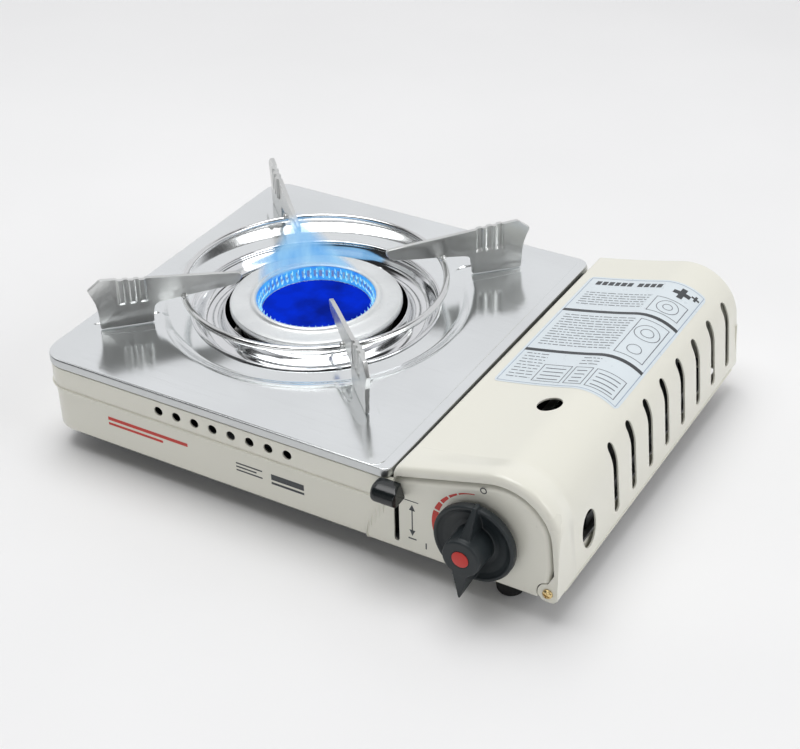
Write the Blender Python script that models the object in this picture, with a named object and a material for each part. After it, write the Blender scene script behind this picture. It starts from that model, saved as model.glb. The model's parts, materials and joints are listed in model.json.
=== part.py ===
"""Portable butane cassette stove: steel body, mirror top plate with a sunk burner, lift-off pan
support, hinged canister lid, ignition knob, canister lock lever and the gas train inside.

Lengths in this file are millimetres; every mesh is scaled to metres as it is made.
X runs left to right along the front, Y from front to back, Z up. The origin is on the resting
surface, below the middle of the whole object. One named object per physical piece.
"""
from math import cos, degrees, hypot, pi, radians, sin, tan

import bmesh
import bpy
from mathutils import Matrix, Vector

MM = 0.001

# --- driving dimensions -------------------------------------------------------------------
BODY_LEFT = -171.5
BODY_FRONT = -119.3
BODY_BACK = 135.4
BODY_BOTTOM = 13.7
BAND_BOTTOM = 45.3          # lower edge of the proud band that carries the vent holes
BAND_TOP = 59.8             # the plate's skirt starts just above
PLATE_Z = 66.0
PLATE_RIGHT = 70.5
PLATE_BACK = 136.3
PLATE_FRONT = -119.8
SKIRT_BOTTOM = 60.4
SHEET = 1.2
CORNER_R = 17.0

BURNER = (-60.9, 14.8)
PLATE_HOLE_R = 98.4
SHELF_R = 75.6              # inner edge of the plate's sunk shelf, which holds the drip dish
SHELF_Z = 61.8

LID_LEFT = 73.5
LID_SIDE = 168.5
LID_EDGE = 171.5
LID_BOTTOM = 16.7
LID_CROWN = 80.6
LID_R = 31.0
LID_SLOPE = radians(15.0)
LID_FRONT = -119.3
LID_BACK = 142.5
LID_RIM_RISE = 4.5          # the front of the lid is pressed up over the control panel
HINGE = (166.0, 20.0)       # x, z of the lid's hinge axis, which runs along Y

KNOB = (126.0, 43.5)        # x, z of the knob's axis, which is also the canister's
KNOB_TRAVEL = radians(125.0)
SKIRT_R = 23.9
SKIRT_FRONT = -128.3        # front and back of the knob's skirt, which floats off the panel
SKIRT_BACK = -123.2
NOTCH_R = 7.0               # the panel's corner clears the lid's hinge ear by a millimetre
PLUNGER_TRAVEL = 5.0
SLOT_X = 74.7
STEM_Z = (50.4, 55.4)       # lower and upper side of the lever's stem, which runs in the slot
LEVER_TRAVEL = 29.0

TRIVET_ANGLES = (45.0, 135.0, 225.0, 315.0)
TRIVET_RING_R = 81.4


# --- small helpers ------------------------------------------------------------------------
def add_object(name, bm):
    """Scale a bmesh from millimetres to metres and make it a named object."""
    bmesh.ops.recalc_face_normals(bm, faces=bm.faces)
    bmesh.ops.scale(bm, vec=(MM, MM, MM), verts=bm.verts)
    mesh = bpy.data.meshes.new(name)
    bm.to_mesh(mesh)
    bm.free()
    obj = bpy.data.objects.new(name, mesh)
    bpy.context.scene.collection.objects.link(obj)
    return obj


def place(plane, u, v, w):
    """A point from its two in-plane coordinates and its depth."""
    return {"XY": (u, v, w), "XZ": (u, w, v), "YZ": (w, u, v)}[plane]


def prism(name, outline, plane, low, high):
    """A flat outline pushed through from one depth to another."""
    bm = bmesh.new()
    near = [bm.verts.new(place(plane, u, v, low)) for u, v in outline]
    far = [bm.verts.new(place(plane, u, v, high)) for u, v in outline]
    bm.faces.new(near)
    bm.faces.new(far)
    for i in range(len(outline)):
        j = (i + 1) % len(outline)
        bm.faces.new((near[i], near[j], far[j], far[i]))
    return add_object(name, bm)


def block(name, low, high):
    outline = [(low[0], low[1]), (high[0], low[1]), (high[0], high[1]), (low[0], high[1])]
    return prism(name, outline, "XY", low[2], high[2])


def circle(cu, cv, radius, count, start=0.0):
    return [(cu + radius * cos(start + 2 * pi * i / count),
             cv + radius * sin(start + 2 * pi * i / count)) for i in range(count)]


def rod(name, plane, cu, cv, radius, low, high, count=24):
    return prism(name, circle(cu, cv, radius, count), plane, low, high)


def lathe(name, section, count=48, centre=(0.0, 0.0), turn=None):
    """Spin a closed section of (radius, height) about Z; a radius of 0 closes on the axis."""
    bm = bmesh.new()
    rings = []
    for radius, height in section:
        if radius < 1e-6:
            rings.append([bm.verts.new((centre[0], centre[1], height))])
        else:
            rings.append([bm.verts.new((u, v, height))
                          for u, v in circle(centre[0], centre[1], radius, count)])
    for a, b in zip(rings, rings[1:] + rings[:1]):
        if len(a) == 1 and len(b) == 1:
            continue
        for i in range(count):
            j = (i + 1) % count
            corners = []
            for ring, k in ((a, i), (a, j), (b, j), (b, i)):
                vert = ring[0] if len(ring) == 1 else ring[k]
                if vert not in corners:
                    corners.append(vert)
            bm.faces.new(corners)
    if turn is not None:
        bmesh.ops.transform(bm, matrix=turn, verts=bm.verts)
    return add_object(name, bm)


def sweep_tube(name, path, radius, count=12):
    """A round bar along a path of points, with flat ends."""
    points = [Vector(p) for p in path]
    bm = bmesh.new()
    side = None
    rings = []
    for i, point in enumerate(points):
        ahead = points[min(i + 1, len(points) - 1)] - points[max(i - 1, 0)]
        ahead.normalize()
        if side is None:
            side = ahead.orthogonal().normalized()
        side = (side - ahead * side.dot(ahead)).normalized()
        other = ahead.cross(side)
        rings.append([bm.verts.new(point + side * (radius * cos(2 * pi * k / count))
                                   + other * (radius * sin(2 * pi * k / count)))
                      for k in range(count)])
    for a, b in zip(rings, rings[1:]):
        for k in range(count):
            m = (k + 1) % count
            bm.faces.new((a[k], a[m], b[m], b[k]))
    bm.faces.new(rings[0])
    bm.faces.new(rings[-1])
    return add_object(name, bm)


def combine(target, others, operation):
    """Boolean every other object into the target and drop the others."""
    for other in others:
        modifier = target.modifiers.new("combine", "BOOLEAN")
        modifier.operation = operation
        modifier.solver = "EXACT"
        modifier.object = other
        bpy.context.view_layer.update()
        graph = bpy.context.evaluated_depsgraph_get()
        mesh = bpy.data.meshes.new_from_object(target.evaluated_get(graph))
        target.modifiers.clear()
        target.data = mesh
        bpy.data.objects.remove(other)
    return target


def cut(target, *others):
    return combine(target, others, "DIFFERENCE")


def join(target, *others):
    return combine(target, others, "UNION")


def turned_about_burner(obj, angle, height=0.0):
    """Turn a piece made at the origin and carry it to the burner's axis."""
    obj.data.transform(Matrix.Translation((BURNER[0] * MM, BURNER[1] * MM, height * MM))
                       @ Matrix.Rotation(angle, 4, "Z"))
    return obj


def arc(cu, cv, radius, first, last, steps):
    """Points along a circular arc, angles in degrees."""
    return [(cu + radius * cos(radians(first + (last - first) * i / steps)),
             cv + radius * sin(radians(first + (last - first) * i / steps)))
            for i in range(steps + 1)]


def rounded_rectangle(x0, y0, x1, y1, radii, steps=6):
    """Corners in the order front left, front right, back right, back left."""
    a, b, c, d = radii
    return (arc(x0 + a, y0 + a, a, 180, 270, steps) + arc(x1 - b, y0 + b, b, 270, 360, steps)
            + arc(x1 - c, y1 - c, c, 0, 90, steps) + arc(x0 + d, y1 - d, d, 90, 180, steps))


def normals_of(points):
    """Left-hand normals of an open polyline, averaged at the corners."""
    result = []
    for i in range(len(points)):
        a = points[max(i - 1, 0)]
        b = points[i]
        c = points[min(i + 1, len(points) - 1)]
        directions = []
        for p, q in ((a, b), (b, c)):
            length = hypot(q[0] - p[0], q[1] - p[1])
            if length > 1e-9:
                directions.append(((q[0] - p[0]) / length, (q[1] - p[1]) / length))
        dx = sum(d[0] for d in directions) / len(directions)
        dy = sum(d[1] for d in directions) / len(directions)
        scale = 1.0 / max(dx * dx + dy * dy, 0.25)
        result.append((-dy * scale, dx * scale))
    return result


def shifted(points, distance):
    return [(p[0] + n[0] * distance, p[1] + n[1] * distance)
            for p, n in zip(points, normals_of(points))]


# --- body ---------------------------------------------------------------------------------
def lid_line(rise=0.0, inset=0.0):
    """The lid's line in XZ, from its left edge over the crown to its lower right edge, moved
    outwards by the rise and in from both free edges by the inset."""
    centre_x = LID_SIDE - LID_R
    centre_z = LID_CROWN - LID_R
    radius = LID_R + rise
    left = LID_LEFT + inset
    right = LID_EDGE - inset

    def slope_z(x):
        touch_x, touch_z = centre_x - radius * sin(LID_SLOPE), centre_z + radius * cos(LID_SLOPE)
        return touch_z - (touch_x - x) * tan(LID_SLOPE)

    points = [(left, 60.9), (left, slope_z(left) - 1.4), (left + 0.5, slope_z(left) - 0.4),
              (left + 1.6, slope_z(left + 1.6))]
    points += [(x, slope_z(x)) for x in (88.0, 104.0, 118.0)]
    points += arc(centre_x, centre_z, radius, 90 + degrees(LID_SLOPE), 4.0, 13)
    points += [(LID_SIDE + 1.4 + rise, 34.0), (LID_EDGE + rise, LID_BOTTOM)]
    return [(min(x, right), z) for x, z in points]


def panel_line(rise, inset):
    """The part of a lid line that edges an upright panel, starting at the band's top."""
    points = [p for p in lid_line(rise, inset)[1:] if p[1] > HINGE[1] + 10.0]
    points[0] = (points[0][0], BAND_TOP)
    return points


def make_body():
    # One sheet runs round the front, left side and back, stepping in below the band.
    path = ([(62.0, BODY_FRONT)]
            + list(reversed(arc(BODY_LEFT + CORNER_R, BODY_FRONT + CORNER_R, CORNER_R, 180, 270, 6)))
            + list(reversed(arc(BODY_LEFT + CORNER_R, BODY_BACK - CORNER_R, CORNER_R, 90, 180, 6)))
            + [(62.0, BODY_BACK)])
    levels = [(BODY_BOTTOM, 3.4), (BODY_BOTTOM + 1.6, 1.5), (BODY_BOTTOM + 4.5, 1.0),
              (BAND_BOTTOM - 1.0, 1.0), (BAND_BOTTOM, 0.0), (BAND_TOP, 0.0),
              (BAND_TOP + 0.3, 2.2), (64.2, 2.2)]
    bm = bmesh.new()
    outer = [[bm.verts.new((x, y, z)) for x, y in shifted(path, -inset)] for z, inset in levels]
    inner = [[bm.verts.new((x, y, z)) for x, y in shifted(path, -inset - SHEET)]
             for z, inset in levels]
    count = len(path)
    for k in range(len(levels) - 1):
        for i in range(count - 1):
            bm.faces.new((outer[k][i], outer[k][i + 1], outer[k + 1][i + 1], outer[k + 1][i]))
            bm.faces.new((inner[k][i], inner[k][i + 1], inner[k + 1][i + 1], inner[k + 1][i]))
        for i in (0, count - 1):
            bm.faces.new((outer[k][i], outer[k + 1][i], inner[k + 1][i], inner[k][i]))
    for k in (0, len(levels) - 1):
        for i in range(count - 1):
            bm.faces.new((outer[k][i], outer[k][i + 1], inner[k][i + 1], inner[k][i]))
    shell = add_object("body_shell", bm)

    # The control panel is pressed forward to the band's plane and flanged back all round.
    notch = arc(HINGE[0], HINGE[1], NOTCH_R, 95, 215, 6)
    outline = [(56.0, 14.5), (56.0, BAND_TOP)] + panel_line(-1.5, 2.6) + notch + [(158.0, 14.5)]
    panel = prism("panel", outline, "XZ", BODY_FRONT, BODY_FRONT + 6.0)
    soften_front_edges(panel, BODY_FRONT, 2.6)
    hollow = prism("hollow", inset_outline(outline, SHEET), "XZ",
                   BODY_FRONT + SHEET, BODY_FRONT + 7.0)
    cut(panel, hollow)
    bracket = block("bracket", (154.0, BODY_FRONT + 1.8, 17.2), (169.0, BODY_FRONT + 3.0, 22.8))
    join(panel, bracket)

    # The back panel rises under the lid and carries the rear hinge boss.
    back_outline = ([(58.0, 14.5), (58.0, BAND_TOP)] + panel_line(-2.6, 3.4)
                    + arc(HINGE[0], HINGE[1], 3.6, 20, -95, 6) + [(158.0, 16.6), (158.0, 14.5)])
    back = prism("back", back_outline, "XZ", BODY_BACK - SHEET - 0.6, BODY_BACK - 0.2)
    boss = rod("boss", "XZ", HINGE[0], HINGE[1], 3.6, BODY_BACK - 1.0, LID_BACK - 4.2, 16)
    join(back, boss)

    join(shell, panel, back)
    cutters = [rod("vent", "XZ", -83.9 + 12.66 * i, 53.0, 3.0, BODY_FRONT - 2, BODY_FRONT + 4, 16)
               for i in range(8)]
    cutters.append(rod("spindle_hole", "XZ", KNOB[0], KNOB[1], 4.5,
                       BODY_FRONT - 2, BODY_FRONT + 4, 20))
    cutters.append(block("lever_slot", (SLOT_X - 1.4, BODY_FRONT - 2, STEM_Z[0] - LEVER_TRAVEL - 1.4),
                         (SLOT_X + 1.4, BODY_FRONT + 1.6, STEM_Z[1] + 1.0)))
    for y in (BODY_FRONT, BODY_BACK):
        cutters.append(rod("screw_hole", "XZ", HINGE[0], HINGE[1], 1.8,
                           y - 8 if y > 0 else y + 0.6, y + 12, 12))
    cut(shell, *cutters)
    return shell


def soften_front_edges(obj, front, width):
    """Round the rim of a pressed panel's front face."""
    bm = bmesh.new()
    bm.from_mesh(obj.data)
    edges = [e for e in bm.edges
             if all(abs(v.co.y / MM - front) < 1e-4 for v in e.verts)
             and not all(abs(v.co.x / MM - 56.0) < 1e-4 for v in e.verts)
             and not all(abs(v.co.z / MM - BAND_TOP) < 1e-4 and v.co.x / MM < 80 for v in e.verts)]
    bmesh.ops.bevel(bm, geom=edges, offset=width * MM, segments=3, profile=0.5,
                    affect="EDGES", clamp_overlap=True)
    bm.to_mesh(obj.data)
    bm.free()


def inset_outline(outline, distance):
    """Move every edge of a closed outline inwards (outline given clockwise seen from -Y)."""
    count = len(outline)
    area = sum(outline[i][0] * outline[(i + 1) % count][1]
               - outline[(i + 1) % count][0] * outline[i][1] for i in range(count)) / 2
    side = 1.0 if area > 0 else -1.0
    result = []
    for i in range(count):
        a, b, c = outline[i - 1], outline[i], outline[(i + 1) % count]
        ab = Vector((b[0] - a[0], b[1] - a[1])).normalized()
        bc = Vector((c[0] - b[0], c[1] - b[1])).normalized()
        n1 = Vector((-ab.y, ab.x)) * side
        n2 = Vector((-bc.y, bc.x)) * side
        middle = (n1 + n2) / max(1.0 + n1.dot(n2), 0.35)
        result.append((b[0] + middle.x * distance, b[1] + middle.y * distance))
    return result


def make_base_pan():
    pan = prism("base_pan", rounded_rectangle(-166.4, -112.6, 160.0, 130.2, (14, 4, 4, 14), 4),
                "XY", 10.0, 20.0)
    inside = prism("inside", rounded_rectangle(-165.2, -111.4, 158.8, 129.0, (13, 3, 3, 13), 4),
                   "XY", 11.2, 22.0)
    cut(pan, inside)
    # The right-hand edge is low so the lid's side can swing past it.
    cut(pan, block("low_edge", (150.0, -120.0, 13.0), (175.0, 140.0, 25.0)))
    return pan


# --- top plate, dish and walls ------------------------------------------------------------
def make_top_plate():
    outer = rounded_rectangle(BODY_LEFT + 0.4, PLATE_FRONT, PLATE_RIGHT, PLATE_BACK, (16, 5, 8, 14), 6)
    plate = prism("top_plate", outer, "XY", SKIRT_BOTTOM, PLATE_Z)
    bm = bmesh.new()
    bm.from_mesh(plate.data)
    rim = [e for e in bm.edges if all(abs(v.co.z / MM - PLATE_Z) < 1e-4 for v in e.verts)]
    bmesh.ops.bevel(bm, geom=rim, offset=1.2 * MM, segments=2, profile=0.5, affect="EDGES")
    bm.to_mesh(plate.data)
    bm.free()
    inside = rounded_rectangle(BODY_LEFT + 1.4, PLATE_FRONT + 1.0, PLATE_RIGHT - 1.0,
                               PLATE_BACK - 1.0, (15, 4, 7, 13), 6)
    cut(plate, prism("inside", inside, "XY", SKIRT_BOTTOM - 2, PLATE_Z - 1.0))
    cut(plate, rod("opening", "XY", BURNER[0], BURNER[1], PLATE_HOLE_R - 0.4, 50, 80, 56))
    # Round the opening the sheet rolls down to a shelf that carries the drip dish.
    section = [(PLATE_HOLE_R, PLATE_Z), (PLATE_HOLE_R - 2.2, PLATE_Z - 0.7),
               (PLATE_HOLE_R - 4.6, PLATE_Z - 2.4), (PLATE_HOLE_R - 7.0, SHELF_Z),
               (SHELF_R, SHELF_Z), (SHELF_R, SHELF_Z - 1.0),
               (PLATE_HOLE_R - 7.6, SHELF_Z - 1.0), (PLATE_HOLE_R - 5.6, PLATE_Z - 3.3),
               (PLATE_HOLE_R - 3.0, PLATE_Z - 1.8), (PLATE_HOLE_R, PLATE_Z - 1.0)]
    return join(plate, lathe("roll", section, 56, BURNER))


def make_drip_dish():
    """Round dish with a beaded rim, a well and a raised lip round the burner."""
    section = [(78.6, 62.0), (77.4, 62.9), (75.6, 62.6), (73.6, 60.4), (71.4, 55.0), (67.5, 51.8),
               (62.0, 51.2), (58.8, 53.4), (57.6, 57.6), (56.9, 60.2), (56.2, 59.9),
               (56.6, 57.0), (57.9, 52.6), (61.6, 50.2), (67.9, 50.8), (72.3, 54.4),
               (74.5, 59.9), (75.1, 61.88), (78.6, 61.88)]
    return lathe("drip_dish", section, 40, BURNER)


def make_partition():
    wall = block("partition_wall", (66.0, -111.0, 11.4), (67.2, 128.6, 60.0))
    top = block("top", (66.0, -111.0, 58.8), (78.0, 128.6, 60.0))
    foot = block("foot", (66.0, -111.0, 11.4), (76.0, 128.6, 12.6))
    join(wall, top, foot)
    return cut(wall, block("pipe_gap", (60.0, -104.0, 28.0), (70.0, -74.0, 46.0)))


# --- burner and gas train -----------------------------------------------------------------
def make_burner():
    lathe("burner_body", [(26.0, 20.0), (30.0, 21.5), (47.0, 46.0), (50.0, 55.6), (48.0, 55.6),
                          (45.0, 47.0), (28.6, 24.0), (25.0, 22.6), (0.0, 22.6), (0.0, 20.0)],
          36, BURNER)
    lathe("burner_bowl", [(0.0, 56.2), (33.8, 56.2), (36.2, 57.2), (46.0, 57.2), (49.6, 57.0),
                          (49.6, 55.8), (46.0, 55.8), (34.4, 54.8), (0.0, 54.8)], 36, BURNER)
    ring = lathe("port_ring", [(35.6, 57.4), (38.0, 57.4), (38.6, 64.0), (36.8, 64.0)], 48, BURNER)
    for i in range(24):
        slot = block("slot", (33.0, -0.8, 59.4), (42.0, 0.8, 65.0))
        cut(ring, turned_about_burner(slot, 2 * pi * i / 24))
    lathe("burner_cap", [(37.4, 64.2), (37.4, 66.6), (38.4, 67.4), (39.8, 67.2), (41.0, 65.8),
                         (53.2, 65.6), (54.6, 64.8), (54.8, 61.6), (53.6, 61.6), (53.2, 64.0),
                         (41.0, 64.4)], 40, BURNER)

    # Mixing tube, injector and pipe lie on one line from the burner towards the regulator.
    heading = radians(-40.0)
    turn = (Matrix.Translation((BURNER[0], BURNER[1], 36.0)) @ Matrix.Rotation(heading, 4, "Z")
            @ Matrix.Rotation(pi / 2, 4, "Y"))
    lathe("mixing_tube", [(8.2, 48.0), (8.2, 62.0), (6.8, 76.0), (8.0, 90.0), (10.6, 98.0),
                          (9.4, 98.4), (6.8, 90.0), (5.4, 76.0), (6.8, 62.0), (6.8, 48.0)], 24, turn=turn)
    lathe("injector_nozzle", [(0.9, 99.0), (3.0, 99.0), (4.0, 103.0), (6.0, 103.2), (6.0, 110.0),
                              (2.4, 110.0), (2.4, 104.0), (0.9, 102.0)], 6, turn=turn)
    end = turn @ Vector((0, 0, 110.6))
    ahead = Vector((cos(heading), sin(heading), 0))
    path = [end, end + ahead * 8, end + ahead * 16 + Vector((1, -1, 0.8)),
            Vector((46, -79.0, 37.5)), Vector((58, -86.0, 38.2)), Vector((72, -88.5, 38.6)),
            Vector((84.6, -88.5, 38.6))]
    sweep_tube("gas_tube", path, 2.1, 8)
    block("burner_bracket", (-104.0, 8.0, 18.2), (-18.0, 21.6, 19.8))
    for side in (-1, 1):
        x = BURNER[0] + side * 38.0
        lathe("bracket_screw_" + ("left" if side < 0 else "right"),
              [(0.0, 22.4), (2.0, 22.3), (3.0, 21.4), (3.0, 20.0), (0.0, 20.0)], 16, (x, 14.8))
        rod("bracket_post_" + ("left" if side < 0 else "right"), "XY", x, 14.8, 4.0, 11.4, 18.0, 16)


def make_gas_unit():
    body = rod("regulator_body", "XZ", KNOB[0], KNOB[1], 15.0, -98.0, -78.0, 28)
    join(body, rod("diaphragm", "XY", 98.0, -88.5, 13.0, 33.0, 48.0, 28),
         block("bridge", (104.0, -96.0, 36.0), (118.0, -81.0, 46.0)))
    cut(body, rod("valve_seat", "XZ", KNOB[0], KNOB[1], 6.4, -86.0, -70.0, 20))
    lathe("regulator_cover", [(0.0, 51.6), (7.0, 51.4), (10.6, 50.0), (13.0, 49.8), (13.0, 48.3),
                              (0.0, 48.3)], 28, (98.0, -88.5))
    post = block("canister_guide_tab", (124.0, -84.0, 59.0), (128.0, -70.5, 60.4))
    join(post, block("key", (124.0, -73.0, 60.0), (128.0, -70.5, 70.0)))
    housing = block("igniter_housing", (118.0, -111.0, 11.4), (134.0, -101.0, 30.0))
    cut(housing, rod("bore", "XY", KNOB[0], -107.8, 2.9, 18.0, 32.0, 16))
    tip = KNOB[1] - 6.7
    lathe("igniter_plunger", [(0.0, tip), (1.0, tip), (1.5, tip - 0.5), (1.5, tip - 5.0),
                              (2.6, tip - 6.0), (2.6, 25.0), (0.0, 25.0)], 20, (KNOB[0], -107.8))
    electrode = radians(-127.0)
    x, y = BURNER[0] + 52.0 * cos(electrode), BURNER[1] + 52.0 * sin(electrode)
    lathe("electrode_insulator", [(1.0, 30.0), (2.4, 30.0), (2.4, 44.0), (2.0, 45.0), (2.0, 56.0),
                                  (1.5, 56.6), (1.0, 56.6)], 16, (x, y))
    rod("electrode_rod", "XY", x, y, 0.9, 27.0, 60.8, 10)
    sweep_tube("igniter_wire", [(x, y, 26.6), (x + 1, y - 2, 19.0), (x + 8, y - 12, 14.6),
                                (x + 30, y - 46, 13.6), (0.0, -86.0, 13.6), (50.0, -93.0, 22.0),
                                (62.0, -95.0, 31.0), (74.0, -97.0, 30.0), (104.0, -103.0, 22.0),
                                (117.6, -106.0, 20.0)], 1.1, 8)


def make_bay():
    for side, name in ((-1, "canister_rail_left"), (1, "canister_rail_right")):
        x = KNOB[0] + side * 27.0
        outline = [(x - side * 3, 11.4), (x + side * 3, 11.4), (x + side * 3, 19.5), (x + side * 1.5, 19.5)]
        prism(name, outline, "XZ", -50.0, 96.0)


# --- moving pieces ------------------------------------------------------------------------
def make_lid():
    """Sweep the sheet's front-to-back section along the lid's line."""
    front, back, rise = LID_FRONT, LID_BACK, LID_RIM_RISE
    section = [(front, -0.8, 2.0), (front, rise - 1.4, 0.0), (front + 0.5, rise - 0.4, 0.0),
               (front + 1.5, rise, 0.0), (-104.0, rise, 0.0), (-92.0, 0.0, 0.0),
               (back - 1.5, 0.0, 0.0), (back - 0.4, -0.4, 0.4), (back, -1.2, 1.0),
               (back, -2.2, 2.0), (back - SHEET, -2.2, 2.0), (back - SHEET, -SHEET, SHEET),
               (-92.0, -SHEET, SHEET), (-104.0, rise - SHEET, SHEET),
               (front + SHEET, rise - SHEET, SHEET), (front + SHEET, -0.8, 2.0)]
    bm = bmesh.new()
    lines = [[bm.verts.new((x, y, z)) for x, z in lid_line(d, inset)] for y, d, inset in section]
    for a, b in zip(lines, lines[1:] + lines[:1]):
        for i in range(len(a) - 1):
            bm.faces.new((a[i], a[i + 1], b[i + 1], b[i]))
    bm.faces.new([line[0] for line in lines])
    bm.faces.new([line[-1] for line in lines])
    lid = add_object("lid_cover", bm)

    # Ears at both ends carry the hinge screws.
    round_hinge = [(x, max(z, LID_BOTTOM - 2.0)) for x, z in arc(HINGE[0], HINGE[1], NOTCH_R - 1.0, 88, 270, 9)]
    front_ear = prism("front_ear", [(171.0, 34.0), (169.2, 34.0)] + round_hinge
                      + [(169.6, 14.3), (171.2, LID_BOTTOM)], "XZ", front + 0.02, front + SHEET - 0.02)
    back_ear = prism("back_ear", [(169.6, 46.0), (166.0, 42.0)] + round_hinge
                     + [(169.6, 14.3), (171.2, LID_BOTTOM)], "XZ", back - 3.6, back - 2.4)
    join(lid, front_ear, back_ear)
    for y in (front, back - 3.0):
        cut(lid, rod("screw_hole", "XZ", HINGE[0], HINGE[1], 1.8, y - 1.6, y + 1.6, 12))
    # Round sight hole on top, oval hole and eight upright vents in the side.
    cut(lid, rod("sight_hole", "XY", 126.0, -38.8, 7.2, 60.0, 100.0, 24))
    oval = [(-77.6 + 8.4 * cos(t), 35.8 + 11.8 * sin(t)) for t in (2 * pi * i / 24 for i in range(24))]
    cut(lid, prism("side_hole", oval, "YZ", 160.0, 180.0))
    for i in range(8):
        y = -42.0 + 23.8 * i
        cut(lid, prism("vent", [(y - 2.7, 24.0), (y + 2.7, 24.0), (y + 2.7, 66.0), (y - 2.7, 66.0)],
                       "YZ", 155.0, 180.0))
    return lid


def make_knob():
    x, z = KNOB
    body = rod("knob_body", "XZ", x, z, SKIRT_R, SKIRT_FRONT, SKIRT_BACK, 40)
    dish = lathe("dish", [(0.0, 3.2), (10.0, 3.2), (20.8, 0.0), (20.8, -6.0), (0.0, -6.0)], 40,
                 turn=Matrix.Translation((x, SKIRT_FRONT, z)) @ Matrix.Rotation(pi / 2, 4, "X")
                 @ Matrix.Scale(-1, 4, Vector((0, 0, 1))))
    cut(body, dish)
    hub = rod("hub", "XZ", x, z, 11.0, -142.2, -121.2, 28)
    fin = convex("fin", [(x - 5, -141.6, z), (x + 5, -141.6, z), (x - 6.5, -124.4, z),
                         (x + 6.5, -124.4, z), (x - 1.3, -129.8, z + 25.6), (x + 1.3, -129.8, z + 25.6),
                         (x - 1.5, -124.6, z + 25.6), (x + 1.5, -124.6, z + 25.6)])
    prow = convex("prow", [(x - 6.0, -142.2, z - 7), (x + 6.0, -142.2, z - 7), (x - 6.0, -124.4, z - 7),
                           (x + 6.0, -124.4, z - 7), (x - 0.4, -142.2, z - 26), (x + 0.4, -142.2, z - 26),
                           (x - 0.6, -138.0, z - 25.0), (x + 0.6, -138.0, z - 25.0),
                           (x - 3.0, -125.4, z - 21.0), (x + 3.0, -125.4, z - 21.0)])
    join(body, hub, fin, prow)
    cut(body, rod("dot_recess", "XZ", x, z, 5.0, -143.0, -141.5, 24))
    cut(body, rod("socket", "XZ", x, z, 3.05, -128.4, -119.0, 20))
    rod("knob_dot", "XZ", x, z, 4.95, -142.5, -141.55, 24)
    rod("valve_spindle", "XZ", x, z, 3.0, -128.0, -98.4, 20)
    # The cam's radius grows round a spiral, so turning the knob presses the igniter's plunger.
    outline = []
    for i in range(48):
        angle = 2 * pi * i / 48
        turned = min(angle / KNOB_TRAVEL, 1.0) if angle <= pi * 1.5 else (2 * pi - angle) / (pi / 2)
        radius = 6.0 + PLUNGER_TRAVEL * turned
        outline.append((x + radius * cos(-pi / 2 - angle), z + radius * sin(-pi / 2 - angle)))
    cam = prism("igniter_cam", outline, "XZ", -110.0, -105.6)
    cut(cam, rod("bore", "XZ", x, z, 3.05, -112.0, -104.0, 20))


def convex(name, points):
    bm = bmesh.new()
    for p in points:
        bm.verts.new(p)
    bmesh.ops.convex_hull(bm, input=bm.verts)
    loose = [v for v in bm.verts if not v.link_faces]
    bmesh.ops.delete(bm, geom=loose, context="VERTS")
    return add_object(name, bm)


def make_lever():
    # The grip bulges forwards between a rounded left end and a slanting right end.
    section = [(-120.3, 61.3), (-126.0, 61.3), (-129.6, 60.0), (-131.6, 57.6), (-132.2, 55.0),
               (-131.4, 52.8), (-128.8, 51.4), (-124.0, 51.6), (-120.3, 52.6)]
    middle_y, middle_z = -124.0, 56.5
    points = []
    for y, z in section:
        points += [(x, middle_y + (y - middle_y) * size, middle_z + (z - middle_z) * size)
                   for x, size in ((64.3, 0.55), (65.4, 0.85), (67.6, 1.0))]
        points.append((min(83.0 + 0.29 * (y + 121.0), 78.4 + 1.64 * (61.3 - z)), y, z))
    convex("lever_knob", points)
    arm = block("lever_arm", (70.0, -117.6, 46.0), (90.0, -116.4, 57.6))
    join(arm, block("stem", (SLOT_X - 1.0, -120.2, STEM_Z[0]), (SLOT_X + 1.0, -117.0, STEM_Z[1])))
    slide = block("lock_slide", (84.0, -92.0, 11.6), (89.0, 116.0, 12.8))
    join(slide, block("cross", (84.0, 113.5, 11.6), (142.0, 116.0, 12.8)),
         block("push_tab", (110.0, 113.5, 11.6), (142.0, 114.7, 40.0)))


def make_trivet():
    """Four upright blades on a wire ring; they stand on the plate round the opening."""
    blade = [(46.6, 25.6), (48.4, 26.2), (124.0, 33.2), (130.8, 33.6), (138.7, 27.4), (135.4, 20.0),
             (133.9, 12.0), (133.7, 0.05), (101.0, 0.05), (101.0, 10.6), (98.0, 14.0),
             (46.0, 18.3), (45.4, 20.0), (45.4, 24.2)]
    for index, angle in enumerate(TRIVET_ANGLES):
        arm = prism("trivet_arm_%d" % (index + 1), blade, "XZ", -1.3, 1.3)
        turned_about_burner(arm, radians(angle), PLATE_Z)
    section = circle(TRIVET_RING_R, PLATE_Z + 12.8, 2.1, 8)
    lathe("trivet_ring", section, 48, BURNER)


def make_small_parts():
    for name, x, y in (("foot_front_left", -139.0, -85.0), ("foot_front_right", 137.0, -104.3),
                       ("foot_back_left", -139.0, 107.0), ("foot_back_right", 136.5, 107.0)):
        lathe(name, [(0.0, 9.8), (8.2, 9.8), (8.2, 3.4), (7.4, 1.2), (5.6, 0.0), (0.0, 0.0)], 24, (x, y))
    for name, seat, sense, head in (("hinge_screw_front", LID_FRONT, -1, 2.9),
                                    ("hinge_screw_back", LID_BACK - 2.4, 1, 2.7)):
        face = seat + sense * 0.1
        reach = seat - sense * 5.0
        turn = Matrix.Translation((HINGE[0], 0, HINGE[1])) @ Matrix.Rotation(-pi / 2, 4, "X")
        lathe(name, [(0.0, reach), (1.5, reach), (1.5, face), (head, face),
                     (head - 0.3, face + sense * 1.0), (head - 1.2, face + sense * 1.9),
                     (0.0, face + sense * 2.1)], 16, turn=turn)


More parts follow.
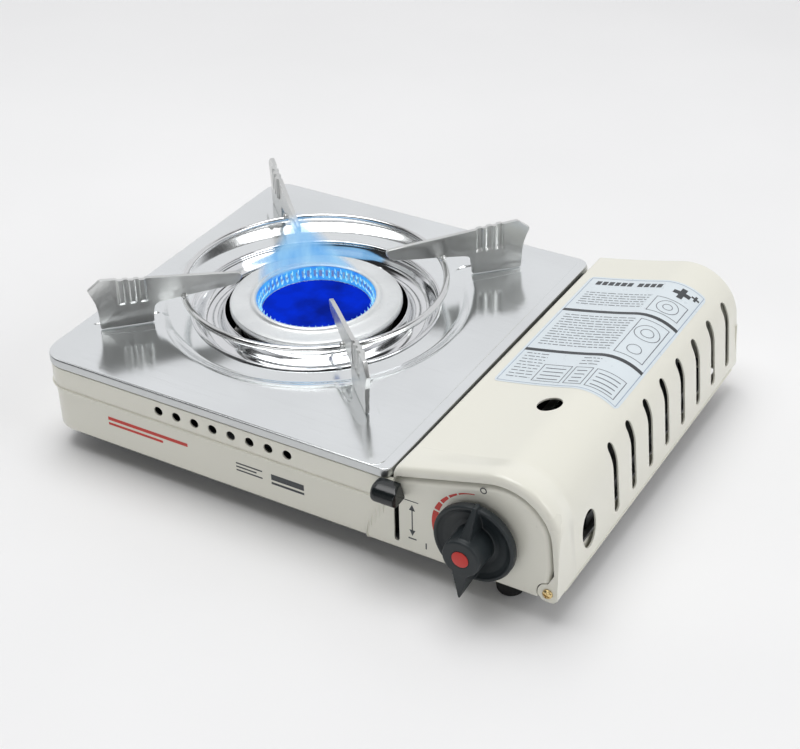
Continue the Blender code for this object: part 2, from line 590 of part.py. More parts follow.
# --- looks, pivots and parents ------------------------------------------------------------
# Each finish: colour, metallic, roughness and the pieces that have it.
FINISHES = {
    "cream_painted_steel": ((0.82, 0.80, 0.74), 0.0, 0.35, ("body_shell", "lid_cover")),
    "mirror_steel": ((0.80, 0.80, 0.79), 1.0, 0.12, ("top_plate", "drip_dish")),
    "galvanised_steel": ((0.62, 0.63, 0.63), 1.0, 0.45,
                         ("base_pan", "partition_wall", "canister_rail_left", "canister_rail_right",
                          "burner_bracket", "bracket_post_left", "bracket_post_right",
                          "lever_arm", "lock_slide", "canister_guide_tab", "igniter_cam")),
    "satin_stainless": ((0.72, 0.72, 0.71), 1.0, 0.3,
                     ("trivet_arm_1", "trivet_arm_2", "trivet_arm_3", "trivet_arm_4", "trivet_ring")),
    "burner_steel": ((0.62, 0.62, 0.61), 1.0, 0.4, ("burner_cap", "port_ring", "burner_bowl")),
    "cast_aluminium": ((0.66, 0.66, 0.65), 1.0, 0.5,
                       ("burner_body", "mixing_tube", "regulator_body", "regulator_cover")),
    "brass": ((0.78, 0.58, 0.28), 1.0, 0.3,
              ("injector_nozzle", "gas_tube", "valve_spindle", "hinge_screw_front",
               "hinge_screw_back")),
    "zinc_screw": ((0.70, 0.70, 0.68), 1.0, 0.35,
                   ("bracket_screw_left", "bracket_screw_right", "electrode_rod")),
    "charcoal_plastic": ((0.04, 0.05, 0.06), 0.0, 0.4, ("knob_body", "lever_knob")),
    "red_plastic": ((0.75, 0.06, 0.04), 0.0, 0.4, ("knob_dot", "igniter_plunger")),
    "black_plastic": ((0.03, 0.03, 0.03), 0.0, 0.5, ("igniter_housing",)),
    "white_ceramic": ((0.88, 0.87, 0.84), 0.0, 0.25, ("electrode_insulator",)),
    "wire_insulation": ((0.75, 0.74, 0.70), 0.0, 0.5, ("igniter_wire",)),
    "black_rubber": ((0.02, 0.02, 0.02), 0.0, 0.8,
                     ("foot_front_left", "foot_front_right", "foot_back_left", "foot_back_right")),
}

# Each moving group: a pivot on its joint's axis and the pieces that move with it.
PIVOTS = {
    "lid_pivot": ((HINGE[0], 0.0, HINGE[1]), ("lid_cover", "hinge_screw_front", "hinge_screw_back")),
    "knob_pivot": ((KNOB[0], -120.0, KNOB[1]), ("knob_body", "knob_dot", "valve_spindle", "igniter_cam")),
    "plunger_pivot": ((KNOB[0], -107.8, 30.0), ("igniter_plunger",)),
    "lever_pivot": ((SLOT_X, -119.0, 53.0), ("lever_knob", "lever_arm")),
    "lock_slide_pivot": ((86.5, 0.0, 12.2), ("lock_slide",)),
    "trivet_pivot": ((BURNER[0], BURNER[1], PLATE_Z),
                     ("trivet_arm_1", "trivet_arm_2", "trivet_arm_3", "trivet_arm_4", "trivet_ring")),
}
FLAT_PIECES = ("base_pan", "partition_wall", "burner_bracket", "lock_slide", "lever_arm",
               "canister_rail_left", "canister_rail_right", "canister_guide_tab")


def apply_finishes():
    for finish, (colour, metallic, roughness, names) in FINISHES.items():
        material = bpy.data.materials.new(finish)
        material.use_nodes = True
        shader = material.node_tree.nodes["Principled BSDF"]
        shader.inputs["Base Color"].default_value = (*colour, 1.0)
        shader.inputs["Metallic"].default_value = metallic
        shader.inputs["Roughness"].default_value = roughness
        for name in names:
            bpy.data.objects[name].data.materials.append(material)


def add_empty(name, point, parent):
    empty = bpy.data.objects.new(name, None)
    bpy.context.scene.collection.objects.link(empty)
    empty.empty_display_size = 0.02
    empty.location = Vector(point) * MM
    empty.parent = parent
    return empty


def gather_under_pivots():
    """Hang every piece on the stove's empty or on the empty of the joint that moves it."""
    pieces = {obj.name: obj for obj in bpy.data.objects}
    stove = add_empty("stove", (0.0, 0.0, 0.0), None)
    pivot_of = {name: (stove, Vector((0, 0, 0))) for name in pieces}
    for pivot_name, (point, names) in PIVOTS.items():
        pivot = add_empty(pivot_name, point, stove)
        for name in names:
            pivot_of[name] = (pivot, Vector(point) * MM)
    for name, obj in pieces.items():
        pivot, origin = pivot_of[name]
        corners = [v.co for v in obj.data.vertices]
        middle = (sum(corners, Vector()) / len(corners)) if pivot is stove else origin
        obj.data.transform(Matrix.Translation(-middle))
        obj.parent = pivot
        obj.location = middle - origin
        if name not in FLAT_PIECES:
            obj.data.shade_smooth()
            obj.data.set_sharp_from_angle(angle=radians(35))


def main():
    for obj in list(bpy.data.objects):
        bpy.data.objects.remove(obj)
    make_base_pan()
    make_body()
    make_top_plate()
    make_drip_dish()
    make_partition()
    make_burner()
    make_gas_unit()
    make_bay()
    make_lid()
    make_knob()
    make_lever()
    make_trivet()
    make_small_parts()
    apply_finishes()
    gather_under_pivots()


main()
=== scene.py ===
"""Looks for the cassette stove: detailed sheet-metal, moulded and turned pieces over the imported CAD,
with procedural materials, a pale floor, soft light and the camera.

Lengths here are millimetres in the CAD's frame; meshes are scaled to metres as they are made.
"""
import json
from math import atan2, cos, degrees, hypot, pi, radians, sin, sqrt, tan

import bmesh
import bpy
from mathutils import Matrix, Vector


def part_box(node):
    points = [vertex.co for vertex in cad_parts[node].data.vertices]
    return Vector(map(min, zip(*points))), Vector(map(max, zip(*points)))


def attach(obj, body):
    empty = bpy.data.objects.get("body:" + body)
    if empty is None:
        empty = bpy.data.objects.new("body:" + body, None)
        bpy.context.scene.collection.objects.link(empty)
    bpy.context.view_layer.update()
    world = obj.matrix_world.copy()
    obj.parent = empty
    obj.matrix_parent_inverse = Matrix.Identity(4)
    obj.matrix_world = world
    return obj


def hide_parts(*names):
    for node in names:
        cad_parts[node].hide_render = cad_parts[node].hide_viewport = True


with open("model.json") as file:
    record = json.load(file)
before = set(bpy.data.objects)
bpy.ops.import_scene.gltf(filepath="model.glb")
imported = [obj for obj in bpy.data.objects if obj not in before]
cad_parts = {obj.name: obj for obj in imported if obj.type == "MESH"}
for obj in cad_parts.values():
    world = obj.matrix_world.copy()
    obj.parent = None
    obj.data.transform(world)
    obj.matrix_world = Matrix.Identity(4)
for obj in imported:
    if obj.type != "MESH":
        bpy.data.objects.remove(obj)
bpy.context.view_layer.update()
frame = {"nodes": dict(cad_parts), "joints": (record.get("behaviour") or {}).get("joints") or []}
MM = 0.001


# --- where the CAD is ---------------------------------------------------------------------
def box_mm(node):
    low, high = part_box(node)
    return [c / MM for c in low], [c / MM for c in high]


def joint_mm(child):
    joint = [j for j in frame["joints"] if j["child"] == child][0]
    return [c / MM for c in joint["pos_m"]]


PLATE_LOW, PLATE_HIGH = box_mm("top_plate")
LID_LOW, LID_HIGH = box_mm("lid_cover")
CAP_LOW, CAP_HIGH = box_mm("burner_cap")
ARM_TOP = box_mm("trivet_arm_1")[1][2]
RING_LOW, RING_HIGH = box_mm("trivet_ring")
DIAL_FRONT = box_mm("knob_body")[0][1]

TOP = PLATE_HIGH[2]  # upper face of the plate
BURNER = ((CAP_LOW[0] + CAP_HIGH[0]) / 2, (CAP_LOW[1] + CAP_HIGH[1]) / 2)
HINGE_X, _, HINGE_Z = joint_mm("lid")
KNOB_X, _, KNOB_Z = joint_mm("knob")
ALONG_HINGE = Matrix.Translation((HINGE_X, 0, HINGE_Z)) @ Matrix.Rotation(-pi / 2, 4, "X")

# The body's walls. The band is the proud strip above the ridge; the field below it lies deeper.
SHEET = 1.0  # wall thickness of the painted sheet
HINGE_BOSS = 2.9  # the shell's box reaches over the boss on the back wall
FRONT = LID_LOW[1]
BACK = round(box_mm("body_shell")[1][1] - HINGE_BOSS, 3)
LEFT = PLATE_LOW[0] - 0.4
BOTTOM, RIDGE, BAND_TOP = 13.7, 45.3, 59.8
SEAM_X = 72.0  # where the long wall meets the panels beside the lid
FIELD_DEPTH = 1.2
FOOT_ROLL = 3.6  # radius of the rolled-in edges
SLOT_X = 74.7
HINGE_HOLE_R = 1.8

# The lid's section is a slope, a round shoulder and a side; its front rim stands LID_RISE proud.
LID_LEFT, LID_EDGE, LID_BACK = LID_LOW[0], LID_HIGH[0], LID_HIGH[1]
LID_RISE = 4.5
LID_CROWN = LID_HIGH[2] - LID_RISE
LID_SIDE = LID_EDGE - 3.0
LID_R = 31.0
LID_SLOPE = radians(15.0)
LID_BOTTOM = 16.7
PRINT_LIFT = 0.16  # how far printed marks lie off the sheet, so that they don't flicker through it

TRIVET_ANGLES = (45.0, 135.0, 225.0, 315.0)


# --- mesh helpers -------------------------------------------------------------------------
def add_object(name, data):
    obj = bpy.data.objects.new(name, data)
    bpy.context.scene.collection.objects.link(obj)
    return obj


def round_shading(mesh, angle):
    """Smooth shading, with edges sharper than the angle left crisp."""
    mesh.shade_smooth()
    mesh.set_sharp_from_angle(angle=radians(angle))


def to_mesh(name, bm, smooth=40.0, fix_normals=True):
    """Finish a bmesh made in millimetres as an object in metres."""
    if fix_normals:
        bmesh.ops.recalc_face_normals(bm, faces=bm.faces)
    bmesh.ops.scale(bm, vec=(MM, MM, MM), verts=bm.verts)
    mesh = bpy.data.meshes.new(name)
    bm.to_mesh(mesh)
    bm.free()
    if smooth:
        round_shading(mesh, smooth)
    return add_object(name, mesh)


def dress(obj, material, body="stove_body", replaces=()):
    """Give a finished piece its material, its body and the CAD nodes it stands for."""
    obj.data.materials.clear()
    obj.data.materials.append(material)
    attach(obj, body)
    if replaces:
        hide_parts(*replaces)


def even_shading(obj):
    """Let the large flat faces set the normals, so that cut sheet doesn't shade in fans."""
    modify(obj, "WEIGHTED_NORMAL", keep_sharp=True, weight=80)
    return obj


def modify(obj, kind, **settings):
    modifier = obj.modifiers.new(kind.lower(), kind)
    for key, value in settings.items():
        setattr(modifier, key, value)


def bake_modifiers(obj, smooth=None):
    """Turn the modifiers' result into the object's own mesh."""
    bpy.context.view_layer.update()
    graph = bpy.context.evaluated_depsgraph_get()
    mesh = bpy.data.meshes.new_from_object(obj.evaluated_get(graph))
    obj.modifiers.clear()
    obj.data = mesh
    if smooth:
        round_shading(mesh, smooth)


def thicken(skin, thickness, smooth, outwards=False):
    """Give an open skin the thickness of its sheet, inwards unless told otherwise."""
    modify(skin, "SOLIDIFY", thickness=thickness * MM, offset=1.0 if outwards else -1.0)
    bake_modifiers(skin, smooth)


def cut(target, tools, smooth=None):
    """Take the tools' shapes out of the target, and remove the tools."""
    for tool in tools:
        modify(target, "BOOLEAN", operation="DIFFERENCE", solver="EXACT", object=tool)
    bake_modifiers(target, smooth)
    for tool in tools:
        bpy.data.objects.remove(tool)
    return target


def merge(name, objects):
    """Several loose pieces as one object, still separate shells."""
    bm = bmesh.new()
    for obj in objects:
        bm.from_mesh(obj.data)
    mesh = bpy.data.meshes.new(name)
    bm.to_mesh(mesh)
    bm.free()
    for obj in objects:
        bpy.data.objects.remove(obj)
    return add_object(name, mesh)


def store_value(obj, name, values):
    """Keep a number with each of the mesh's points, for a material to read."""
    obj.data.attributes.new(name, "FLOAT", "POINT").data.foreach_set("value", values)


def grid(name, rows, close_rows=False, close_columns=False, smooth=40.0):
    """A skin of quads over rows of points."""
    bm = bmesh.new()
    made = [[bm.verts.new(p) for p in row] for row in rows]
    pairs = list(zip(made, made[1:])) + ([(made[-1], made[0])] if close_rows else [])
    for a, b in pairs:
        count = len(a)
        for i in range(count if close_columns else count - 1):
            j = (i + 1) % count
            bm.faces.new((a[i], a[j], b[j], b[i]))
    return to_mesh(name, bm, smooth)


def circle(cu, cv, radius, count, start=0.0):
    return [(cu + radius * cos(start + 2 * pi * i / count),
             cv + radius * sin(start + 2 * pi * i / count)) for i in range(count)]


def arc(cu, cv, radius, first, last, steps):
    """Points round a centre from one angle to another, in degrees."""
    return [(cu + radius * cos(radians(first + (last - first) * i / steps)),
             cv + radius * sin(radians(first + (last - first) * i / steps)))
            for i in range(steps + 1)]


def slot_outline(u, low_v, high_v, radius, steps):
    """An upright slot with round ends, whose ends' centres are at low_v and high_v."""
    return arc(u, low_v, radius, 180, 360, steps) + arc(u, high_v, radius, 0, 180, steps)


def place(plane, u, v, w):
    """The point at (u, v) in a plane, moved by w along its normal."""
    return {"XY": (u, v, w), "XZ": (u, w, v), "YZ": (w, u, v)}[plane]


def prism_bm(outline, plane, low, high, round_edges=0.0, clamp=True):
    """An outline in a plane, drawn out from low to high along the plane's normal."""
    bm = bmesh.new()
    near = [bm.verts.new(place(plane, u, v, low)) for u, v in outline]
    far = [bm.verts.new(place(plane, u, v, high)) for u, v in outline]
    bm.faces.new(near)
    bm.faces.new(far)
    for i in range(len(outline)):
        j = (i + 1) % len(outline)
        bm.faces.new((near[i], near[j], far[j], far[i]))
    if round_edges:
        rim = [e for e in bm.edges if (e.verts[0] in near) == (e.verts[1] in near)]
        bmesh.ops.bevel(bm, geom=rim, offset=round_edges, segments=3, profile=0.5, affect="EDGES",
                        clamp_overlap=clamp)
    return bm


def prism(name, outline, plane, low, high, round_edges=0.0):
    return to_mesh(name, prism_bm(outline, plane, low, high, round_edges))


def cutter(outline, plane, low, high):
    """A prism that only serves to be cut out of another piece."""
    return prism("cutter", outline, plane, low, high)


def lathe(name, section, count=96, centre=(0.0, 0.0), turn=None, smooth=35.0, wave=None):
    """Spin a closed section of (radius, height); wave may shift a radius by angle and height."""
    bm = bmesh.new()
    rings = []
    for radius, height in section:
        if radius < 1e-6:
            rings.append([bm.verts.new((centre[0], centre[1], height))])
            continue
        ring = []
        for i in range(count):
            angle = 2 * pi * i / count
            r = radius + (wave(angle, radius, height) if wave else 0.0)
            ring.append(bm.verts.new((centre[0] + r * cos(angle), centre[1] + r * sin(angle), height)))
        rings.append(ring)
    for a, b in zip(rings, rings[1:] + rings[:1]):
        if len(a) == 1 and len(b) == 1:
            continue
        for i in range(count):
            j = (i + 1) % count
            corners = []
            for ring, k in ((a, i), (a, j), (b, j), (b, i)):
                vert = ring[0] if len(ring) == 1 else ring[k]
                if vert not in corners:
                    corners.append(vert)
            bm.faces.new(corners)
    if turn is not None:
        bmesh.ops.transform(bm, matrix=turn, verts=bm.verts)
    return to_mesh(name, bm, smooth)


def above_plate(section):
    """A section of (radius, height over the plate) with its heights over the floor."""
    return [(radius, TOP + height) for radius, height in section]


def smooth_line(points, steps=4):
    """A control line as a rounder one, by Catmull-Rom."""
    out = []
    for i in range(len(points) - 1):
        p0 = points[max(i - 1, 0)]
        p1, p2 = points[i], points[i + 1]
        p3 = points[min(i + 2, len(points) - 1)]
        for k in range(steps):
            t = k / steps
            out.append(tuple(0.5 * (2 * b + (c - a) * t + (2 * a - 5 * b + 4 * c - d) * t * t
                                    + (3 * b - a - 3 * c + d) * t ** 3)
                             for a, b, c, d in zip(p0, p1, p2, p3)))
    out.append(points[-1])
    return out


def wire_ring(name, centre, ring_radius, height, wire_radius, steps=160, count=20):
    """A level ring of round wire."""
    rows = []
    for i in range(steps):
        a = 2 * pi * i / steps
        rows.append([(centre[0] + (ring_radius + across) * cos(a),
                      centre[1] + (ring_radius + across) * sin(a), z)
                     for across, z in circle(0.0, height, wire_radius, count, pi / count)])
    return grid(name, rows, close_rows=True, close_columns=True, smooth=60.0)


def rounded_rectangle(x0, y0, x1, y1, radii, spacing, steps=12):
    """A closed outline, front left corner first, with its straight sides split at a spacing."""
    a, b, c, d = radii
    corners = (arc(x0 + a, y0 + a, a, 180, 270, steps), arc(x1 - b, y0 + b, b, 270, 360, steps),
               arc(x1 - c, y1 - c, c, 0, 90, steps), arc(x0 + d, y1 - d, d, 90, 180, steps))
    out = []
    for k, corner in enumerate(corners):
        out += corner
        start, end = corner[-1], corners[(k + 1) % 4][0]
        pieces = max(1, int(hypot(end[0] - start[0], end[1] - start[1]) / spacing))
        out += [(start[0] + (end[0] - start[0]) * i / pieces,
                 start[1] + (end[1] - start[1]) * i / pieces) for i in range(1, pieces)]
    return out


def inset_outline(outline, distance):
    """The closed outline moved inwards by a distance, with mitred corners."""
    count = len(outline)
    area = sum(outline[i][0] * outline[(i + 1) % count][1]
               - outline[(i + 1) % count][0] * outline[i][1] for i in range(count)) / 2
    side = 1.0 if area > 0 else -1.0
    result = []
    for i in range(count):
        a, b, c = outline[i - 1], outline[i], outline[(i + 1) % count]
        ab = Vector((b[0] - a[0], b[1] - a[1])).normalized()
        bc = Vector((c[0] - b[0], c[1] - b[1])).normalized()
        n1 = Vector((-ab.y, ab.x)) * side
        n2 = Vector((-bc.y, bc.x)) * side
        middle = (n1 + n2) / max(1.0 + n1.dot(n2), 0.35)
        result.append((b[0] + middle.x * distance, b[1] + middle.y * distance))
    return result


def without_straight_points(points):
    """The outline without the points that lie on a straight run, which would make sliver faces."""
    kept = []
    for i, (x, y) in enumerate(points):
        (x0, y0), (x1, y1) = points[i - 1], points[(i + 1) % len(points)]
        turn = (x - x0) * (y1 - y) - (y - y0) * (x1 - x)
        if abs(turn) > 0.002 * hypot(x - x0, y - y0) * hypot(x1 - x, y1 - y):
            kept.append((x, y))
    return kept


def ease(t):
    """0 to 1 with soft ends, for t from 0 to 1."""
    t = min(1.0, max(0.0, t))
    return t * t * (3 - 2 * t)


# --- materials ----------------------------------------------------------------------------
class Nodes:
    """A material's node tree with short calls for the patterns used here."""

    def __init__(self, name):
        self.material = bpy.data.materials.new(name)
        self.material.use_nodes = True
        self.tree = self.material.node_tree
        self.shader = self.tree.nodes["Principled BSDF"]
        self.coords = self.tree.nodes.new("ShaderNodeTexCoord").outputs["Object"]

    def add(self, kind, **settings):
        node = self.tree.nodes.new(kind)
        for key, value in settings.items():
            setattr(node, key, value)
        return node

    def link(self, source, target):
        self.tree.links.new(source, target)

    def stretched(self, scale):
        node = self.add("ShaderNodeMapping")
        node.inputs["Scale"].default_value = scale
        self.link(self.coords, node.inputs["Vector"])
        return node.outputs["Vector"]

    def noise(self, scale, detail=3.0, stretch=None, roughness=0.5):
        node = self.add("ShaderNodeTexNoise")
        node.inputs["Scale"].default_value = scale
        node.inputs["Detail"].default_value = detail
        node.inputs["Roughness"].default_value = roughness
        self.link(self.stretched(stretch) if stretch else self.coords, node.inputs["Vector"])
        return node.outputs["Fac"]

    def named_value(self, name):
        """A number that the mesh stores at each of its points."""
        return self.add("ShaderNodeAttribute", attribute_name=name).outputs["Fac"]

    def cells(self, scale):
        """A grey value that differs from one crystal cell to the next."""
        node = self.add("ShaderNodeTexVoronoi")
        node.inputs["Scale"].default_value = scale
        self.link(self.coords, node.inputs["Vector"])
        grey = self.add("ShaderNodeRGBToBW")
        self.link(node.outputs["Color"], grey.inputs["Color"])
        return grey.outputs["Val"]

    def span(self, value, low, high, out_low=0.0, out_high=1.0):
        """A value's range from low to high as another range, held at its ends."""
        node = self.add("ShaderNodeMapRange")
        for key, number in (("From Min", low), ("From Max", high), ("To Min", out_low),
                            ("To Max", out_high)):
            node.inputs[key].default_value = number
        self.link(value, node.inputs["Value"])
        return node.outputs["Result"]

    def blend(self, factor, first, second):
        """From the first colour to the second; either may be a socket."""
        node = self.add("ShaderNodeMix", data_type="RGBA")
        self.link(factor, node.inputs["Factor"])
        for socket, value in ((node.inputs["A"], first), (node.inputs["B"], second)):
            if isinstance(value, bpy.types.NodeSocket):
                self.link(value, socket)
            else:
                socket.default_value = (*value, 1.0)
        return node.outputs["Result"]

    def math(self, operation, a, b):
        node = self.add("ShaderNodeMath", operation=operation)
        for k, value in enumerate((a, b)):
            if isinstance(value, bpy.types.NodeSocket):
                self.link(value, node.inputs[k])
            else:
                node.inputs[k].default_value = value
        return node.outputs["Value"]

    def bump(self, height, strength, distance, normal=None):
        node = self.add("ShaderNodeBump")
        node.inputs["Strength"].default_value = strength
        node.inputs["Distance"].default_value = distance * MM
        self.link(height, node.inputs["Height"])
        if normal:
            self.link(normal, node.inputs["Normal"])
        return node.outputs["Normal"]

    def set(self, **sockets):
        """Give the shader's sockets a constant, a colour or a link; returns the material."""
        for key, value in sockets.items():
            socket = self.shader.inputs[key.replace("_", " ")]
            if isinstance(value, bpy.types.NodeSocket):
                self.link(value, socket)
            elif isinstance(value, tuple):
                socket.default_value = (*value, 1.0)
            else:
                socket.default_value = value
        return self.material


def scaled(colour, factor):
    return tuple(min(1.0, c * factor) for c in colour)


def make_paint(name, colour):
    """Glossy stove paint: faint mottling, orange peel and uneven gloss."""
    n = Nodes(name)
    patch = n.noise(9.0, 4.0)
    fine = n.noise(140.0, 3.0)
    tint = n.blend(n.span(patch, 0.15, 0.85), scaled(colour, 0.985), scaled(colour, 1.012))
    tint = n.blend(n.span(fine, 0.60, 0.80, 0.0, 0.07), tint, scaled(colour, 0.88))
    rough = n.span(n.noise(24.0, 4.0), 0.1, 0.9, 0.25, 0.35)
    peel = n.bump(n.noise(420.0, 2.0), 0.10, 0.05)
    return n.set(Base_Color=tint, Roughness=rough, Normal=n.bump(n.noise(30.0, 1.0), 0.05, 0.05, peel),
                 Coat_Weight=0.4, Coat_Roughness=0.10, Specular_IOR_Level=0.5)


def make_sheet_steel(name, colour, low, high, streaks=(30.0, 900.0, 900.0), wobble=0.10, grain=0.05,
                     edge_shade=False):
    """Polished rolled sheet: streaks along the rolling direction and a slight waviness; if asked, painted
    shade darkens its turned-down edge.
    """
    n = Nodes(name)
    streak = n.noise(1.0, 6.0, streaks, 0.65)
    cloud = n.noise(14.0, 4.0)
    tint = n.blend(n.span(cloud, 0.3, 0.7), scaled(colour, 0.95), scaled(colour, 1.03))
    tint = n.blend(n.span(streak, 0.52, 0.80, 0.0, 0.25), tint, scaled(colour, 0.86))
    rough = n.math("ADD", n.span(streak, 0.3, 0.75, low, high), n.span(cloud, 0.35, 0.7, 0.0, 0.05))
    if edge_shade:
        # The turned-down edge, marked by the edge value, is painted darker as painted shade on the skirt;
        # its gloss is also made rougher.
        edge = n.named_value("edge")
        tint = n.blend(edge, tint, scaled(colour, 0.66))
        rough = n.math("ADD", rough, n.math("MULTIPLY", edge, 0.2))
    wave = n.bump(n.noise(11.0, 2.0), wobble, 0.5)
    return n.set(Base_Color=tint, Metallic=1.0, Roughness=rough,
                 Normal=n.bump(streak, grain, 0.02, wave), Anisotropic=0.25)


def make_cast(name, colour, metallic=1.0, rough=(0.38, 0.55), scale=500.0, depth=0.08, pits=0.25):
    """Blasted or cast metal: speckled tint, small pits and a broken-up gloss."""
    n = Nodes(name)
    speckle = n.noise(scale, 4.0, None, 0.7)
    cloud = n.noise(30.0, 4.0)
    tint = n.blend(n.span(cloud, 0.3, 0.7), scaled(colour, 0.90), scaled(colour, 1.06))
    tint = n.blend(n.span(speckle, 0.55, 0.75, 0.0, pits), tint, scaled(colour, 0.62))
    return n.set(Base_Color=tint, Metallic=metallic, Roughness=n.span(speckle, 0.3, 0.7, *rough),
                 Normal=n.bump(speckle, 0.35, depth))


def make_galvanised(name, colour):
    """Zinc-coated sheet with its crystal pattern and a few dull clouds."""
    n = Nodes(name)
    spangle = n.cells(130.0)
    cloud = n.noise(25.0, 5.0)
    tint = n.blend(n.span(spangle, 0.2, 0.8), scaled(colour, 0.84), scaled(colour, 1.12))
    tint = n.blend(n.span(cloud, 0.55, 0.75, 0.0, 0.35), tint, scaled(colour, 0.70))
    return n.set(Base_Color=tint, Metallic=1.0, Roughness=n.span(spangle, 0.2, 0.8, 0.32, 0.50),
                 Normal=n.bump(n.noise(300.0, 3.0), 0.2, 0.05))


def make_plastic(name, colour, rough=(0.34, 0.46), grain=700.0, depth=0.05, gloss=0.45):
    """Moulded plastic with a fine spark-eroded grain and handling marks."""
    n = Nodes(name)
    spark = n.noise(grain, 3.0, None, 0.6)
    smear = n.noise(28.0, 5.0)
    tint = n.blend(n.span(smear, 0.35, 0.7), scaled(colour, 0.88), scaled(colour, 1.15))
    return n.set(Base_Color=tint, Roughness=n.span(smear, 0.3, 0.7, *rough),
                 Normal=n.bump(spark, 0.3, depth), Specular_IOR_Level=gloss)


def make_ink(name, colour, rough=0.42, change=1.25):
    """Printed colour: slightly uneven, with a fine tooth."""
    n = Nodes(name)
    patch = n.noise(260.0, 4.0)
    tint = n.blend(n.span(patch, 0.35, 0.75), colour, scaled(colour, change))
    return n.set(Base_Color=tint, Roughness=n.span(patch, 0.3, 0.7, rough - 0.08, rough + 0.08),
                 Normal=n.bump(n.noise(900.0, 2.0), 0.08, 0.02))


paint = make_paint("cream_paint", (0.80, 0.79, 0.70))
# The plate's turned-down edge gets painted shade from its material.
plate_steel = make_sheet_steel("polished_plate", (0.87, 0.895, 0.90), 0.09, 0.16, wobble=0.04,
                               edge_shade=True)
dish_steel = make_sheet_steel("mirror_dish", (0.84, 0.85, 0.86), 0.03, 0.09, (300.0, 300.0, 40.0),
                              0.16, 0.02)
arm_steel = make_cast("satin_arm_steel", (0.70, 0.71, 0.70), 1.0, (0.28, 0.40), 350.0, 0.05, 0.12)
ring_steel = make_sheet_steel("ring_wire", (0.78, 0.79, 0.79), 0.10, 0.20, (200.0, 200.0, 200.0),
                              0.2, 0.05)
cap_steel = make_cast("blasted_cap", (0.80, 0.82, 0.82), 0.85, (0.34, 0.48), 420.0, 0.06, 0.18)
cast_metal = make_cast("cast_aluminium", (0.62, 0.62, 0.61), 1.0, (0.42, 0.60), 260.0, 0.15, 0.35)
galvanised = make_galvanised("galvanised_sheet", (0.62, 0.64, 0.65))
brass = make_cast("turned_brass", (0.78, 0.60, 0.30), 1.0, (0.22, 0.36), 300.0, 0.03, 0.12)
zinc = make_cast("zinc_plate", (0.72, 0.72, 0.70), 1.0, (0.25, 0.38), 300.0, 0.03, 0.15)
lever_plastic = make_plastic("lever_plastic", (0.008, 0.011, 0.012), (0.16, 0.26), 700.0, 0.03, 0.6)
charcoal = make_plastic("charcoal_plastic", (0.013, 0.019, 0.022), (0.42, 0.54))
red = make_plastic("red_disc", (0.56, 0.028, 0.020), (0.30, 0.42), 500.0, 0.02)
black_plastic = make_plastic("black_plastic", (0.02, 0.02, 0.022), (0.40, 0.55))
rubber = make_plastic("black_rubber", (0.012, 0.012, 0.012), (0.62, 0.80), 420.0, 0.10, 0.35)
ceramic = make_plastic("white_ceramic", (0.86, 0.85, 0.82), (0.18, 0.28), 200.0, 0.02)
insulation = make_plastic("wire_insulation", (0.62, 0.60, 0.55), (0.40, 0.55), 300.0, 0.03)
red_ink = make_ink("red_ink", (0.55, 0.035, 0.022))
dark_ink = make_ink("dark_ink", (0.045, 0.050, 0.055))
grey_ink = make_ink("grey_ink", (0.13, 0.14, 0.16))
# The bay's steel is made very dark as painted shade, so the inside seen through the lid's vents reads as
# shadow.
shaded_bay_steel = make_galvanised("shaded_bay_steel", (0.20, 0.205, 0.21))
# Near-black steel as painted shadow: it darkens the partition, the gaps beside the lid and the bracket
# behind the hinge cut.
shade_steel = make_cast("shadow_dark_steel", (0.035, 0.035, 0.033), 0.4, (0.50, 0.65), 300.0, 0.04, 0.3)
label_vinyl = make_ink("label_vinyl", (0.70, 0.765, 0.80), 0.34, 1.02)
label_line = make_ink("label_border", (0.30, 0.37, 0.46))


# --- lid ----------------------------------------------------------------------------------
EDGE_SWELL, SWELL_WIDTH = 4.1, 50.0
LID_FOOT = 60.9  # the left side ends here, beside the plate
FLARE_FROM = 5.4  # angle at which the round shoulder runs out into the straight side


def swell_height(x):
    """How far the lid's left side bulges up: most at its edge."""
    return EDGE_SWELL * max(0.0, 1.0 - (x - LID_LEFT) / SWELL_WIDTH) ** 1.6


def lid_line(rise=0.0, inset=0.0, swell=1.0):
    """The lid's line in XZ from its left edge over the crown to its lower right edge.

    Its left side swells by EDGE_SWELL, so that the raised front rim, which has none of that swell,
    dies out towards that side."""
    corner = 2.2
    centre_x, centre_z = LID_SIDE - LID_R, LID_CROWN - LID_R
    radius = LID_R + rise
    left, right = LID_LEFT + inset, LID_EDGE - inset

    def slope_z(x):
        touch_x, touch_z = centre_x - radius * sin(LID_SLOPE), centre_z + radius * cos(LID_SLOPE)
        return touch_z - (touch_x - x) * tan(LID_SLOPE) + swell * swell_height(x)

    # The left side and its round corner, the slope, the shoulder, then the side and its turned-in foot.
    top = slope_z(left)
    points = [(left, LID_FOOT), (left, (LID_FOOT + top) / 2 - 1.2)]
    points += [(left + corner * (1 - cos(a)), top - corner * (1 - sin(a) - tan(LID_SLOPE) * (1 - cos(a))))
               for a in (0.0, 0.4, 0.8, 1.2)]
    points += [(x, slope_z(x)) for x in (left + 2.6, left + 5.0, 84.0, 90.0, 96.0, 102.0, 108.0, 114.0,
                                         120.0, 125.0)]
    points += arc(centre_x, centre_z, radius, 90 + degrees(LID_SLOPE), FLARE_FROM, 30)
    end_x, end_z = points[-1]
    foot_z = LID_BOTTOM + 1.2
    run = (LID_EDGE + rise - 0.1 - end_x) / (end_z - foot_z)
    points += [(end_x + run * (end_z - z), z) for z in (47.0, 42.0, 36.0, 29.0, 22.0, foot_z)]
    points.append((LID_EDGE + rise - 0.3, LID_BOTTOM))
    return [(min(x, right), z) for x, z in points]


LID_BASE = lid_line()
MAIN_FRONT, MAIN_BACK = FRONT + 34.0, LID_BACK - 6.0


def swell_at(y):
    """The left side's swell shrinks towards the back."""
    return 1.0 - 0.4 * max(0.0, min(1.0, (y - MAIN_FRONT) / (MAIN_BACK - MAIN_FRONT)))


